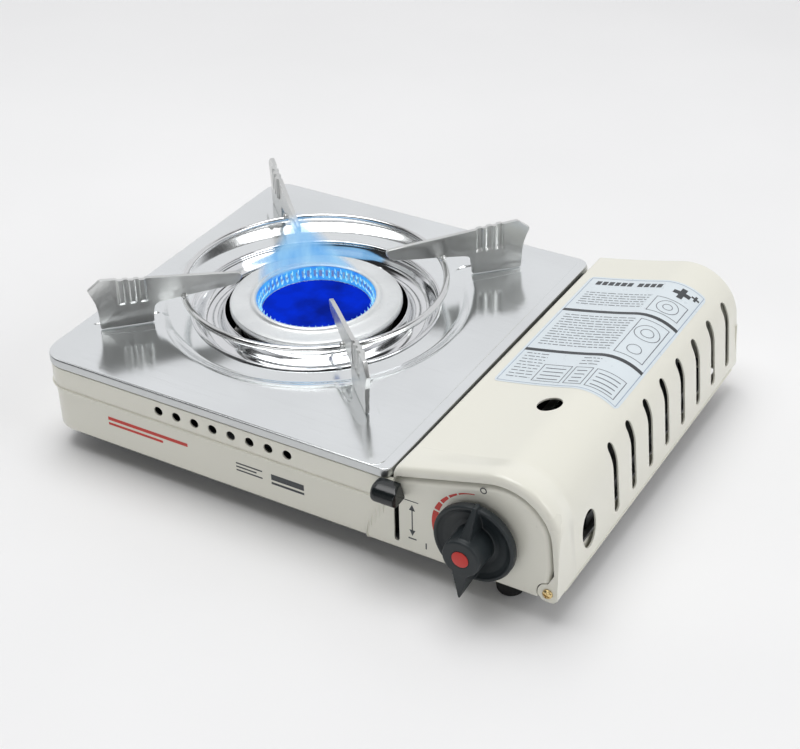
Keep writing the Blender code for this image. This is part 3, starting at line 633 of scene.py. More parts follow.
def lid_point(s, y, lift=0.0):
    """A point on the lid's outer skin at arc length s from its left edge, raised off it."""
    to_go = s
    for (x0, z0), (x1, z1) in zip(LID_BASE, LID_BASE[1:]):
        length = hypot(x1 - x0, z1 - z0)
        if to_go <= length:
            t = to_go / length
            nx, nz = -(z1 - z0) / length, (x1 - x0) / length
            x = x0 + (x1 - x0) * t
            sunk = (1.0 - swell_at(y)) * swell_height(x)
            return (x + nx * lift, y, z0 + (z1 - z0) * t + nz * lift - sunk)
        to_go -= length
    return (LID_BASE[-1][0], y, LID_BASE[-1][1])


def lid_length_to(x):
    """Arc length from the left edge to where the skin passes x on its upper side."""
    total = 0.0
    for (x0, z0), (x1, z1) in zip(LID_BASE, LID_BASE[1:]):
        if x0 <= x <= x1 and x1 > x0:
            return total + hypot(x1 - x0, z1 - z0) * (x - x0) / (x1 - x0)
        total += hypot(x1 - x0, z1 - z0)
    return total


def lid_stations():
    """The lid from front to back as (y, rise, inset, swell): a rolled lip, a raised rim that slopes
    away to a crisp crease, the long main part and a rolled back edge."""
    roll = 3.2
    stations = [(FRONT, -0.8, 0.4, 0.0), (FRONT, 0.4, 0.0, 0.0)]
    stations += [(FRONT + roll * (1 - cos(a)), LID_RISE - roll * (1 - sin(a)), 0.0, 0.0)
                 for a in (0.0, 0.3, 0.6, 0.9, 1.2, pi / 2)]
    rim = ((6.0, 0.05), (8.5, 0.25), (11.0, 0.75), (13.5, 1.45), (16.0, 2.2), (18.5, 2.95), (21.0, 3.6),
           (22.3, 3.85), (22.9, 3.9), (23.2, 4.38), (23.6, 4.5), (26.0, 4.5), (30.0, 4.5))
    stations += [(FRONT + y, LID_RISE - drop, 0.0, drop / LID_RISE) for y, drop in rim]
    count = 44
    for i in range(count + 1):
        y = MAIN_FRONT + (MAIN_BACK - MAIN_FRONT) * i / count
        stations.append((y, 0.0, 0.0, swell_at(y)))
    roll_in = ((2.2, 0.0, 0.0), (1.3, 0.12, 0.1), (0.6, 0.5, 0.3), (0.15, 1.1, 0.8), (0.0, 1.8, 1.4),
               (0.0, 2.3, 2.0))
    return stations + [(LID_BACK - back, -drop, inset, swell_at(LID_BACK)) for back, drop, inset in roll_in]


def lid_cutters():
    """A sight hole on top, a finger hole and a row of upright vents in the side."""
    finger = [(-77.6 + 8.4 * cos(t), 35.8 + 11.8 * sin(t)) for t in (2 * pi * i / 48 for i in range(48))]
    cutters = [cutter(circle(126.0, -38.8, 7.25, 48), "XY", 60.0, 100.0),
               cutter(finger, "YZ", 160.0, 180.0)]
    first, pitch, low, high, radius = -42.0, 23.8, 26.6, 64.2, 3.1
    return cutters + [cutter(slot_outline(first + pitch * i, low, high, radius, 12), "YZ", 150.0, 180.0)
                      for i in range(8)]


def lid_ear(low, high, top):
    """A flange round a hinge screw, under the lid's end."""
    ring = [(x, max(z, LID_BOTTOM - 2.4)) for x, z in arc(HINGE_X, HINGE_Z, 6.0, 88, 272, 22)]
    ear = prism("ear", top + ring + [(169.4, 14.4), (171.2, LID_BOTTOM - 0.4)], "XZ", low, high,
                round_edges=0.3)
    return cut(ear, [cutter(circle(HINGE_X, HINGE_Z, HINGE_HOLE_R, 20), "XZ", low - 1, high + 1)])


def lid_hem():
    """The side's lower edge, folded in and up inside the vents."""
    line = smooth_line([(LID_EDGE - 0.4, LID_BOTTOM + 0.4), (LID_EDGE - 0.7, LID_BOTTOM - 0.6),
                        (LID_EDGE - 2.0, LID_BOTTOM - 0.7), (LID_EDGE - 2.9, LID_BOTTOM + 0.8),
                        (LID_EDGE - 3.4, 20.6), (LID_EDGE - 3.9, 25.2), (LID_EDGE - 4.3, 26.0)])
    hem = grid("hem", [[(x, y, z) for x, z in line]
                       for y in (FRONT + 10.0, FRONT + 60.0, 0.0, 60.0, LID_BACK - 10.0)])
    thicken(hem, 0.8, 40.0, outwards=True)
    return hem


def make_lid():
    lid = grid("lid_skin", [[(x, y, z) for x, z in lid_line(rise, inset, swell)]
                            for y, rise, inset, swell in lid_stations()])
    thicken(lid, SHEET, 40.0)
    cut(lid, lid_cutters(), smooth=40.0)
    front_ear = lid_ear(FRONT + 0.02, FRONT + SHEET, [(171.0, 35.5), (169.9, 35.0), (169.2, 33.0)])
    back_ear = lid_ear(LID_BACK - 3.6, LID_BACK - 2.4, [(169.9, 46.0), (167.0, 38.0)])
    lid = even_shading(merge("lid_shell", [lid, lid_hem(), front_ear, back_ear]))
    dress(lid, paint, "lid", ("lid_cover",))


# --- label --------------------------------------------------------------------------------
def lid_patch(name, s0, s1, y0, y1, lift, steps, corner=0.0):
    """A thin patch laid on the lid, with rounded corners if asked for."""
    rows = []
    for i in range(steps + 1):
        s = s0 + (s1 - s0) * i / steps
        from_edge = min(s - s0, s1 - s)
        cut_in = 0.0
        if from_edge < corner:
            cut_in = corner - sqrt(max(0.0, corner ** 2 - (corner - from_edge) ** 2))
        rows.append([lid_point(s, y, lift) for y in (y0 + cut_in, y1 - cut_in)])
    return grid(name, rows, smooth=60.0)


def dashes(s0, s1, y0, y1, pitch, thick, seed):
    """Rows of short dashes in place of text; a fixed rule sets each dash's length."""
    made = []
    y, k = y1, seed
    while y > y0:
        s = s0
        while s < s1:
            k = (k * 73 + 41) % 997
            length = 1.6 + (k % 7) * 0.65
            made.append(lid_patch("dash", s, min(s + length, s1), y - thick, y, PRINT_LIFT, 2))
            s += length + 0.9
        y -= pitch
    return made


def outline_box(s0, s1, y0, y1, line=0.5):
    return [lid_patch("line", s0, s1, y0, y0 + line, PRINT_LIFT, 12),
            lid_patch("line", s0, s1, y1 - line, y1, PRINT_LIFT, 12),
            lid_patch("line", s0, s0 + line, y0, y1, PRINT_LIFT, 2),
            lid_patch("line", s1 - line, s1, y0, y1, PRINT_LIFT, 2)]


def outline_ring(s0, y0, radius, line=0.5):
    rows = [[lid_point(s, y, PRINT_LIFT) for s, y in circle(s0, y0, r, 40)]
            for r in (radius, radius - line)]
    return [grid("ring", rows, close_columns=True, smooth=60.0)]


def make_label():
    """An instruction label shown only as generic blocks, lines and outlines."""
    left, right = lid_length_to(81.0), lid_length_to(157.5)
    front, back = -20.3, 114.2
    margin, line = 1.6, 0.5
    dress(lid_patch("label_sheet", left, right, front, back, 0.10, 60, 3.0), label_vinyl, "lid")
    s_low, s_high, y_low, y_high = left + margin, right - margin, front + margin, back - margin
    edges = ((s_low, s_high, y_low, y_low + line), (s_low, s_high, y_high - line, y_high),
             (s_low, s_low + line, y_low, y_high), (s_high - line, s_high, y_low, y_high))
    border = [lid_patch("line", *edge, 0.14, 40) for edge in edges]
    dress(merge("label_border", border), label_line, "lid")

    # Two bars part the fields; the header is a row of plain blocks and plus-shaped marks.
    dark = [lid_patch("bar", s_low, s_high, y - 1.5, y + 1.5, PRINT_LIFT, 50) for y in (18.6, 69.6)]
    s = left + 7.0
    for block in (4.4, 4.2, 4.4, 4.0, 4.4, 4.2, 0.0, 4.4, 4.2, 4.2, 4.4):
        if block:
            dark.append(lid_patch("block", s, s + block - 1.0, 104.0, 108.6, PRINT_LIFT, 3))
        s += block if block else 2.6
    for s, y, arm, half in ((right - 14.0, 103.5, 5.6, 1.8), (right - 5.6, 106.0, 2.8, 0.8)):
        dark.append(lid_patch("plus", s - half, s + half, y - arm, y + arm, PRINT_LIFT + 0.01, 3))
        dark.append(lid_patch("plus", s - arm, s + arm, y - half, y + half, PRINT_LIFT + 0.02, 6))
    dress(merge("label_blocks", dark), dark_ink, "lid")

    grey = (dashes(left + 6, right - 30, 76.0, 94.0, 3.0, 0.75, 5)
            + dashes(left + 6, right - 27, 26.0, 64.0, 3.1, 0.75, 91)
            + dashes(left + 5, left + 20, -14.0, 14.5, 3.4, 0.7, 301)
            + dashes(left + 42, right - 26, 6.0, 14.5, 3.4, 0.7, 77))
    grey += outline_box(right - 26, right - 5, 75.5, 93.5) + outline_box(right - 24, right - 5, 24.5, 65.0)
    for in_from_right, y, radius in ((15.5, 84.5, 7.0), (15.5, 84.5, 3.2), (14.5, 52.0, 8.0),
                                     (14.5, 52.0, 4.2), (14.5, 33.0, 4.6)):
        grey += outline_ring(right - in_from_right, y, radius)
    for s0, s1 in ((left + 22, left + 40), (left + 42, right - 26), (right - 24, right - 5)):
        grey += outline_box(s0, s1, -15.5, 3.5)
        grey += [lid_patch("line", s0 + 2.5, s1 - 2.5, y, y + 0.8, PRINT_LIFT, 6)
                 for y in (-13.0, -9.0, -5.0, -1.0)]
    dress(merge("label_lines", grey), grey_ink, "lid")


# --- body ---------------------------------------------------------------------------------
def panel_line(rise, inset, swell=0.0):
    """The panel's edge inside the lid: it climbs off the band before it follows the lid's line."""
    points = [p for p in lid_line(rise, inset, swell) if p[0] > LID_LEFT + 10.0 and p[1] > HINGE_Z + 11.0]
    climb = points[0][1] - BAND_TOP
    return [(LID_LEFT + 2.0, BAND_TOP + 0.3 * climb), (LID_LEFT + 6.0, BAND_TOP + 0.72 * climb)] + points


def field_depth(x, z):
    """How far the wall lies behind the band: a pressed field with a sharp ledge along its edge."""
    inside = RIDGE - z
    if x > 20:
        side = 55.5 + 12.5 * ease((z - 20.0) / 27.0) - x
        inside = min(inside, side) - 1.6 * max(0.0, 1.0 - abs(inside - side) / 6.0) ** 2
    ledge = ease((inside + 0.6) / 0.3) * (1.0 - ease((inside - 0.1) / 2.4))
    return FIELD_DEPTH * ease(inside / 2.6 + 0.5) - 1.25 * ledge


def wall_path():
    """The long wall seen from above, as (x, y, normal x, normal y), from the front seam round to the
    back one. It is finely divided where the field's slanting end lies."""
    corner = 17.0
    front_xs = ([SEAM_X, 70.0] + [69.0 - 0.3 * i for i in range(60)]
                + [51.0 - 6.0 * i for i in range(34) if 51.0 - 6.0 * i > LEFT + corner + 2])
    bend = [radians(90 * k / 12) for k in range(13)]
    path = [(x, FRONT, 0.0, -1.0) for x in front_xs]
    path += [(LEFT + corner - corner * sin(a), FRONT + corner - corner * cos(a), -sin(a), -cos(a))
             for a in bend]
    path += [(LEFT, FRONT + corner + (BACK - FRONT - 2 * corner) * i / 20, -1.0, 0.0) for i in range(1, 20)]
    path += [(LEFT + corner - corner * cos(a), BACK - corner + corner * sin(a), -cos(a), sin(a))
             for a in bend]
    return path + [(x, BACK, 0.0, 1.0) for x in reversed(front_xs)]


def wall_levels():
    """The wall's height as (z, inset), from its rolled-in foot to the flange under the plate."""
    levels = [(BOTTOM, 5.2)]
    levels += [(BOTTOM + FOOT_ROLL * (1 - cos(a)), FOOT_ROLL * (1 - sin(a)))
               for a in (0.0, 0.26, 0.52, 0.78, 1.05, 1.31, pi / 2)]
    levels += [(z, 0.0) for z in (20.0, 24.0, 28.0, 32.0, 36.0, 40.0, 42.0, 42.8, 43.4, 43.9, 44.3, 44.7,
                                  45.0, 45.3, 45.6, 45.68, 45.76, 45.84, 45.92, 46.2, 46.6, 48.0, 49.5,
                                  52.0, 56.0, BAND_TOP - 0.4)]
    return levels + [(BAND_TOP, 0.4), (BAND_TOP + 0.1, 2.2), (63.6, 2.2)]


def make_wall():
    rows = []
    for z, inset in wall_levels():
        row = []
        for x, y, nx, ny in wall_path():
            push = inset
            if z < 55.0:
                push += field_depth(x, z) * (1.0 if inset < 3.0 else 0.3)
            row.append((x - nx * push, y - ny * push, z))
        rows.append(row)
    wall = grid("wall", rows)
    thicken(wall, SHEET, 40.0)
    cutters = [cutter(circle(-83.9 + 12.66 * i, 53.0, 3.0, 32), "XZ", FRONT - 3, FRONT + 4)
               for i in range(8)]
    # The inner flange stops short of the gap between plate and lid.
    gap_x, gap_z = PLATE_HIGH[0] - 1.0, BAND_TOP + 0.05
    cutters.append(cutter([(gap_x, gap_z), (SEAM_X + 9, gap_z), (SEAM_X + 9, 70.0), (gap_x, 70.0)], "XZ",
                          FRONT - 1, BACK + 1))
    return cut(wall, cutters, smooth=40.0)


def panel_outline(front):
    """The front or back panel beside the lid; both start along the seam with the long wall."""
    outline = [(SEAM_X, BOTTOM), (SEAM_X, BAND_TOP)]
    if front:
        side = LID_SIDE - 1.4
        outline += panel_line(-2.2, 3.0) + [(side, 30.0), (side, 22.0), (side - 0.6, 18.4),
                                            (side - 2.4, 15.2), (side - 5.4, BOTTOM)]
    else:
        outline += (panel_line(-2.8, 3.6, swell_at(BACK)) + arc(HINGE_X, HINGE_Z, 3.8, 40, -95, 12)
                    + [(158.0, 16.2), (157.6, BOTTOM)])
    return without_straight_points(outline)


def front_panel_cutters():
    """The lever's slot, the spindle's hole, and the corner cut away round the hinge."""
    near = FRONT - 3
    notch = [(160.2, 17.3), (158.4, 11.0), (172.0, 11.0), (172.0, 17.3)]
    return [cutter(slot_outline(SLOT_X, 21.8, 55.0, 1.6, 8), "XZ", near, FRONT + 4),
            cutter(circle(KNOB_X, KNOB_Z, 4.5, 32), "XZ", near, FRONT + 4),
            cutter(circle(HINGE_X, HINGE_Z, 6.6, 48), "XZ", near, FRONT + 9.5),
            cutter(notch, "XZ", near - 0.3, FRONT + 9.7)]


def make_panel(front):
    """A pressed panel with a turned-in edge: rings of its outline, then one flat face."""
    plane, inwards = (FRONT, 1.0) if front else (BACK, -1.0)
    bend = (0.0, 0.2, 0.4, 0.6, 0.8, 1.0, 1.2, 1.4, pi / 2)
    profile = [(0.0, 7.0), (0.0, 5.0)]
    profile += [(FOOT_ROLL * (1 - cos(a)), FOOT_ROLL * (1 - sin(a))) for a in bend]
    outline = panel_outline(front)
    bm = bmesh.new()
    rings = []
    for inset, depth in profile:
        ring = inset_outline(outline, inset)
        ring[:2] = [(SEAM_X, ring[0][1]), (SEAM_X, ring[1][1])]
        rings.append([bm.verts.new((x, plane + inwards * depth, z)) for x, z in ring])
    # The edge at the seam stays open; the skin is then thickened inwards.
    for a, b in zip(rings, rings[1:]):
        for i in range(1, len(a)):
            j = (i + 1) % len(a)
            bm.faces.new((a[i], a[j], b[j], b[i]))
    face = bm.faces.new(rings[-1])
    bmesh.ops.recalc_face_normals(bm, faces=bm.faces[:])
    if face.normal.y * inwards > 0:
        bmesh.ops.reverse_faces(bm, faces=bm.faces[:])
    panel = to_mesh("panel", bm, 0, fix_normals=False)
    thicken(panel, SHEET, 40.0)
    return cut(panel, front_panel_cutters() if front else [], smooth=40.0)


def make_shell():
    """Front, left and back wall as one pressed sheet, the two panels, and what holds the lid."""
    pieces = [make_wall(), make_panel(True), make_panel(False)]
    # Dark return flanges stand behind the gaps between the end panels and the lid, painted near black as
    # painted shadow in the gaps.
    for name, y, swell in (("panel_return_front", FRONT + 3.4, 0.0),
                           ("panel_return_back", BACK - 4.4, swell_at(BACK))):
        outer = panel_line(-1.5, 2.0, swell) + [(LID_SIDE + 0.2, 25.0)]
        inner = panel_line(-4.2, 5.0, swell) + [(LID_SIDE - 2.6, 25.0)]
        dress(prism(name, outer + inner[::-1], "XZ", y, y + 1.0), shade_steel)
    shell = even_shading(merge("body_sheet", pieces))
    dress(shell, paint, "stove_body", ("body_shell",))
    # Hinge bracket and rear boss, which the lid's screws go through.
    bracket = prism("hinge_bracket", [(154.0, 17.2), (169.0, 17.2), (169.0, 22.8), (154.0, 22.8)], "XZ",
                    FRONT + 1.8, FRONT + 3.0, round_edges=0.3)
    hole = cutter(circle(HINGE_X, HINGE_Z, HINGE_HOLE_R, 20), "XZ", FRONT, FRONT + 5)
    # The bracket takes the near-black steel as painted shade behind the hinge cut.
    dress(cut(bracket, [hole], smooth=40.0), shade_steel)
    boss = lathe("hinge_boss", [(HINGE_HOLE_R, BACK - 1.0), (3.6, BACK - 1.0), (3.6, BACK + 2.2),
                                (3.2, BACK + 2.6), (HINGE_HOLE_R, BACK + 2.6)], 32, turn=ALONG_HINGE)
    dress(boss, galvanised)


# --- printed marks ------------------------------------------------------------------------
MARK_Y = FRONT - 0.06
FIELD_MARK_Y = MARK_Y + FIELD_DEPTH


def patch(points, y):
    """A flat printed shape on the front."""
    bm = bmesh.new()
    bm.faces.new([bm.verts.new((x, y, z)) for x, z in points])
    return to_mesh("patch", bm, 0)


def bar(x0, z0, x1, z1, y=MARK_Y):
    return patch([(x0, z0), (x1, z0), (x1, z1), (x0, z1)], y)


def flow_arc():
    """The tapering arc round the knob's left, with four gaps."""
    steps, inside = 48, 25.6
    bm = bmesh.new()
    outer, inner = [], []
    for i in range(steps + 1):
        t = i / steps
        angle = radians(98 + 118 * t)
        for ring, radius in ((outer, inside + 0.5 + 3.4 * ease(t * 1.25)), (inner, inside)):
            ring.append(bm.verts.new((KNOB_X + radius * cos(angle), MARK_Y, KNOB_Z + radius * sin(angle))))
    for i in range(steps):
        if i not in (9, 15, 21, 27):
            bm.faces.new((outer[i], outer[i + 1], inner[i + 1], inner[i]))
    return to_mesh("flow_arc", bm, 0)


def flat_marks():
    """Generic print on the control panel and plain stripes on the long wall's field."""
    dress(flow_arc(), red_ink)
    # The lever's end marks and arrow; then off as a ring and on as a stroke, the usual symbols.
    marks = [bar(79.5, 50.2, 88.5, 50.8), bar(84.15, 30.5, 84.85, 45.0),
             patch([(82.6, 44.2), (86.4, 44.2), (84.5, 48.2)], MARK_Y),
             patch([(82.6, 31.0), (86.4, 31.0), (84.5, 27.0)], MARK_Y), bar(82.0, 24.6, 87.0, 25.5)]
    ring = [[(x, MARK_Y, z) for x, z in circle(KNOB_X + 1.5, KNOB_Z + 30.0, radius, 32)]
            for radius in (2.0, 1.35)]
    marks += [grid("off_mark", ring, close_columns=True, smooth=0), bar(92.6, 21.0, 93.4, 25.0)]
    dress(merge("panel_marks", marks), dark_ink)

    red_bars = ((-124.0, 33.0, -66.0, 35.4), (-124.0, 29.6, -84.0, 31.4))
    dark_bars = ((-32.0, 33.6, -14.0, 34.6), (-32.0, 31.2, -18.0, 32.2), (-32.0, 28.8, -14.0, 29.8),
                 (-8.0, 30.6, 14.0, 34.6), (-8.0, 27.6, 14.0, 29.2))
    for name, bars, ink in (("red_stripes", red_bars, red_ink), ("dark_stripes", dark_bars, dark_ink)):
        dress(merge(name, [bar(*ends, FIELD_MARK_Y) for ends in bars]), ink)


# --- top plate and dish -------------------------------------------------------------------
def ray_length(outline, centre, angle):
    """Distance from a centre to a closed outline along an angle."""
    dx, dy = cos(angle), sin(angle)
    best = 0.0
    for (x0, y0), (x1, y1) in zip(outline, outline[1:] + outline[:1]):
        ax, ay, bx, by = x0 - centre[0], y0 - centre[1], x1 - centre[0], y1 - centre[1]
        ex, ey = bx - ax, by - ay
        det = dx * -ey + ex * dy
        if abs(det) < 1e-12:
            continue
        t = (ax * -ey + ex * ay) / det
        u = (dx * ay - dy * ax) / det
        if -1e-9 <= u <= 1 + 1e-9 and t > best:
            best = t
    return best


def seat_depth(angle, r):
    """Depth of the shallow pressed seats for the pan support's feet."""
    depth = 0.0
    for arm in TRIVET_ANGLES:
        off = (angle - radians(arm) + pi) % (2 * pi) - pi
        if cos(off) < 0:
            continue
        half = 10.5 - 3.0 * ease((r - 100.0) / 40.0)
        depth += 0.5 * ease((half - abs(r * sin(off))) / 1.8) * ease((139.5 - r) / 3.5)
    return depth


def plate_angles(outline):
    """The directions in which the plate is drawn: its outline's points, and finely at the seats."""
    angles = {round(atan2(y - BURNER[1], x - BURNER[0]), 6) for x, y in outline}
    for arm in TRIVET_ANGLES:
        angles |= {round((radians(arm + 0.5 * k) + pi) % (2 * pi) - pi, 6) for k in range(-16, 17)}
    angles = sorted(angles)
    return [a for a, b in zip(angles, angles[1:] + [angles[0] + 2 * pi]) if b - a > 0.002]


def make_plate():
    """The top plate, drawn as spokes from the round well outwards to the turned-down edge."""
    x0, y0, x1, y1 = PLATE_LOW[0], PLATE_LOW[1], PLATE_HIGH[0], PLATE_HIGH[1]
    outer = rounded_rectangle(x0, y0, x1, y1, (16, 5, 8, 14), 5.0)
    step = rounded_rectangle(x0 + 1.3, y0 + 1.1, x1 - 6.4, y1 - 1.3, (14.7, 7, 8, 12.7), 200.0)
    flat_from = 101.0
    well = [(75.6, -5.2), (75.6, -4.3), (76.4, -4.2), (80.0, -4.2), (88.6, -4.2), (90.0, -4.05),
            (91.2, -3.7), (92.6, -3.0), (94.0, -2.1), (95.4, -1.25), (96.8, -0.6), (98.2, -0.2),
            (99.6, -0.04), (flat_from, 0.0)]
    drop = PLATE_LOW[2] - TOP
    rows = []
    for angle in plate_angles(outer):
        reach = ray_length(outer, BURNER, angle)
        edge = ray_length(step, BURNER, angle)
        flat = [(flat_from + (edge - 1.2 - flat_from) * i / 22, 0.0) for i in range(1, 23)]
        shelf = [(edge - 0.3, 0.0), (edge - 0.08, -0.03), (edge + 0.04, -0.32), (edge + 0.2, -0.36),
                 (reach - 0.75, -0.37), (reach - 0.5, -0.42)]
        turned_down = [(reach - 0.2, -0.75), (reach, -1.5), (reach, drop + 0.5), (reach - 0.35, drop)]
        row = []
        for r, z in well + flat + shelf + turned_down:
            dip = seat_depth(angle, r) * ease((r - 90.0) / 8.0)
            row.append((BURNER[0] + r * cos(angle), BURNER[1] + r * sin(angle), TOP + z - dip))
        rows.append(row)
    plate = grid("plate_sheet", rows, close_rows=True, smooth=50.0)
    # The turned-down edge is marked so the material can paint it darker as painted shade.
    shaded_edge_rows = [0.0] * (len(rows[0]) - len(turned_down)) + [1.0] * len(turned_down)
    store_value(plate, "edge", shaded_edge_rows * len(rows))
    thicken(plate, 0.8, 50.0)
    even_shading(plate)
    dress(plate, plate_steel, "stove_body", ("top_plate",))


def make_dish():
    """The spun drip dish: a rim that rests in the plate, a trough and a collar round the burner."""
    outside = [(78.6, -4.0), (78.3, -3.2), (77.4, -2.95), (76.5, -3.2), (76.0, -3.9), (75.2, -5.0),
               (73.6, -7.8), (71.6, -11.2), (69.2, -13.6), (66.0, -14.6), (62.6, -14.4), (60.2, -13.0),
               (59.2, -10.4), (58.4, -7.6), (57.8, -5.9), (57.2, -5.4), (56.8, -5.9)]
    inside = [(r + dr, z - 0.75) for (r, z), dr in zip(
        outside[2:-2], (0, -0.2, -0.5, -0.7, -0.6, -0.3, 0.1, 0.1, 0, -0.2, -0.5, -0.6, -0.6))]
    section = above_plate(smooth_line(outside, 3) + inside[::-1])
    dish = lathe("dish_bowl", section, 160, BURNER, smooth=50.0)
    dress(dish, dish_steel, "stove_body", ("drip_dish",))


# --- burner -------------------------------------------------------------------------------
def port_teeth(angle, radius, height):
    """The ports' upright slots, as a shift of the wall's inner radius."""
    if radius > 37.5 or height < TOP - 8.0:
        return 0.0
    return 0.55 if (angle * 60 / (2 * pi)) % 1.0 < 0.45 else 0.0


def make_burner():
    """The part of the burner that shows in the plate: cap, wall of ports, bowl and its rivets."""
    rim = [(37.3, -1.8), (37.3, 0.6), (37.9, 1.15), (38.9, 1.45), (39.9, 1.3), (40.6, 0.7),
           (41.1, 0.0), (41.9, -0.35), (44.0, -0.45), (50.0, -0.5), (52.2, -0.6), (53.4, -0.9),
           (53.9, -1.7), (53.9, -4.2), (53.4, -4.4), (52.9, -3.9), (52.8, -2.0), (41.0, -1.7),
           (39.6, -2.2), (38.4, -2.1)]
    ports = [(35.0, -8.7), (35.8, -7.8), (36.2, -6.0), (36.5, -3.0), (36.7, -2.1), (38.2, -2.2),
             (38.0, -8.7)]
    bowl = [(0.0, -9.2), (16.0, -9.25), (30.0, -9.5), (33.8, -9.7), (35.0, -9.2), (46.0, -8.9),
            (49.4, -9.0), (49.6, -9.6), (49.4, -10.2), (34.0, -10.8), (0.0, -10.8)]
    cap = lathe("cap_flange", above_plate(rim), 128, BURNER)
    dress(cap, cap_steel, "stove_body", ("burner_cap",))
    wall = lathe("port_wall", above_plate(ports), 480, BURNER, smooth=30.0, wave=port_teeth)
    dress(wall, cap_steel, "stove_body", ("port_ring",))
    disc = lathe("bowl_disc", above_plate(bowl), 96, BURNER)
    dress(disc, cap_steel, "stove_body", ("burner_bowl",))

    rivet = above_plate([(0.0, -8.4), (1.6, -8.5), (2.4, -9.0), (2.4, -9.4), (0.0, -9.4)])
    centres = circle(BURNER[0], BURNER[1], 28.0, 3, radians(30))
    dress(merge("bowl_rivets", [lathe("rivet", rivet, 24, centre) for centre in centres]), zinc)


# --- pan support --------------------------------------------------------------------------
def blade_bm(outline):
    """A support blade along X, with three upright beads pressed through its sheet."""
    bm = prism_bm(outline, "XZ", -1.3, 1.3, 0.45, clamp=False)
    across_beads = [102.8 + 0.4 * k for k in range(49)]
    across_ends = [14.6, 15.2, 15.8, 16.4, 17.0, 17.6, 18.2, 19.0]
    for values, axis in ((across_beads, Vector((1, 0, 0))), (across_ends, Vector((0, 0, 1)))):
        for value in values:
            geometry = bm.verts[:] + bm.edges[:] + bm.faces[:]
            bmesh.ops.bisect_plane(bm, geom=geometry, plane_co=axis * value, plane_no=axis)
    for v in bm.verts:
        press = sum(ease((2.35 - abs(v.co.x - bead)) / 1.1) for bead in (106.0, 112.5, 119.0))
        v.co.y += 1.5 * press * ease((v.co.z - 15.0) / 2.4)
    return bm


def make_trivet():
    """Four blades standing on the plate, and the ring welded under their inner ends."""
    top = ARM_TOP - TOP
    blade = (arc(48.2, top - 10.6, 2.8, 250, 110, 6) + [(60.0, top - 6.7), (124.0, top - 0.6),
             (129.5, top - 0.1)] + arc(130.6, top - 1.2, 1.2, 80, 40, 3)
             + [(138.2, 28.2), (138.7, 27.4), (138.3, 26.4), (136.6, 22.6), (135.0, 18.0), (134.1, 13.0),
                (133.8, 8.0), (133.7, 0.9), (133.0, 0.08), (102.0, 0.08), (101.0, 0.9), (101.0, 8.0),
                (100.4, 11.4), (98.6, 13.4), (95.6, 14.3), (80.0, 15.5), (60.0, 17.0), (50.0, 17.9)])
    bead = [(0.0, 1.5), (0.8, 1.35), (1.4, 0.7), (1.6, 0.0), (1.4, -0.7), (0.8, -1.3), (0.0, -1.5)]
    radius = (RING_HIGH[0] - RING_LOW[0]) / 2 - 2.1
    height = (RING_HIGH[2] + RING_LOW[2]) / 2
    welds = []
    for index, angle in enumerate(TRIVET_ANGLES, 1):
        a = radians(angle)
        bm = blade_bm(blade)
        turn = Matrix.Translation((*BURNER, TOP)) @ Matrix.Rotation(a, 4, "Z")
        bmesh.ops.transform(bm, matrix=turn, verts=bm.verts)
        arm = to_mesh("support_blade_%d" % index, bm, 35.0)
        dress(arm, arm_steel, "trivet", ("trivet_arm_%d" % index,))
        for off in (-1.9, 1.9):
            spot = (BURNER[0] + radius * cos(a) - off * sin(a),
                    BURNER[1] + radius * sin(a) + off * cos(a), height + 2.4)
            drawn_out = Matrix.Scale(1.5, 4, (cos(a), sin(a), 0))
            welds.append(lathe("weld", bead, 16, turn=Matrix.Translation(spot) @ drawn_out))
    ring = wire_ring("support_ring", BURNER, radius, height, 2.05)
    dress(ring, ring_steel, "trivet", ("trivet_ring",))
    dress(merge("support_welds", welds), arm_steel, "trivet")


# --- knob and lever -----------------------------------------------------------------------
def hull(name, points):
    """The smallest convex solid round the points."""
    bm = bmesh.new()
    for p in points:
        bm.verts.new(p)
    bmesh.ops.convex_hull(bm, input=bm.verts)
    bmesh.ops.delete(bm, geom=[v for v in bm.verts if not v.link_faces], context="VERTS")
    return to_mesh(name, bm, 0)


def mirrored(x, points):
    """Points given as (distance from x, y, z), on both sides of x."""
    return [(x + side * off, y, z) for off, y, z in points for side in (-1, 1)]


def mould(obj, voxel, passes):
    """Fuse overlapping solids and ease their inner corners, as a moulding has."""
    modify(obj, "REMESH", mode="VOXEL", voxel_size=voxel * MM)
    modify(obj, "SMOOTH", factor=0.5, iterations=passes)
    bake_modifiers(obj, 60.0)
    return obj


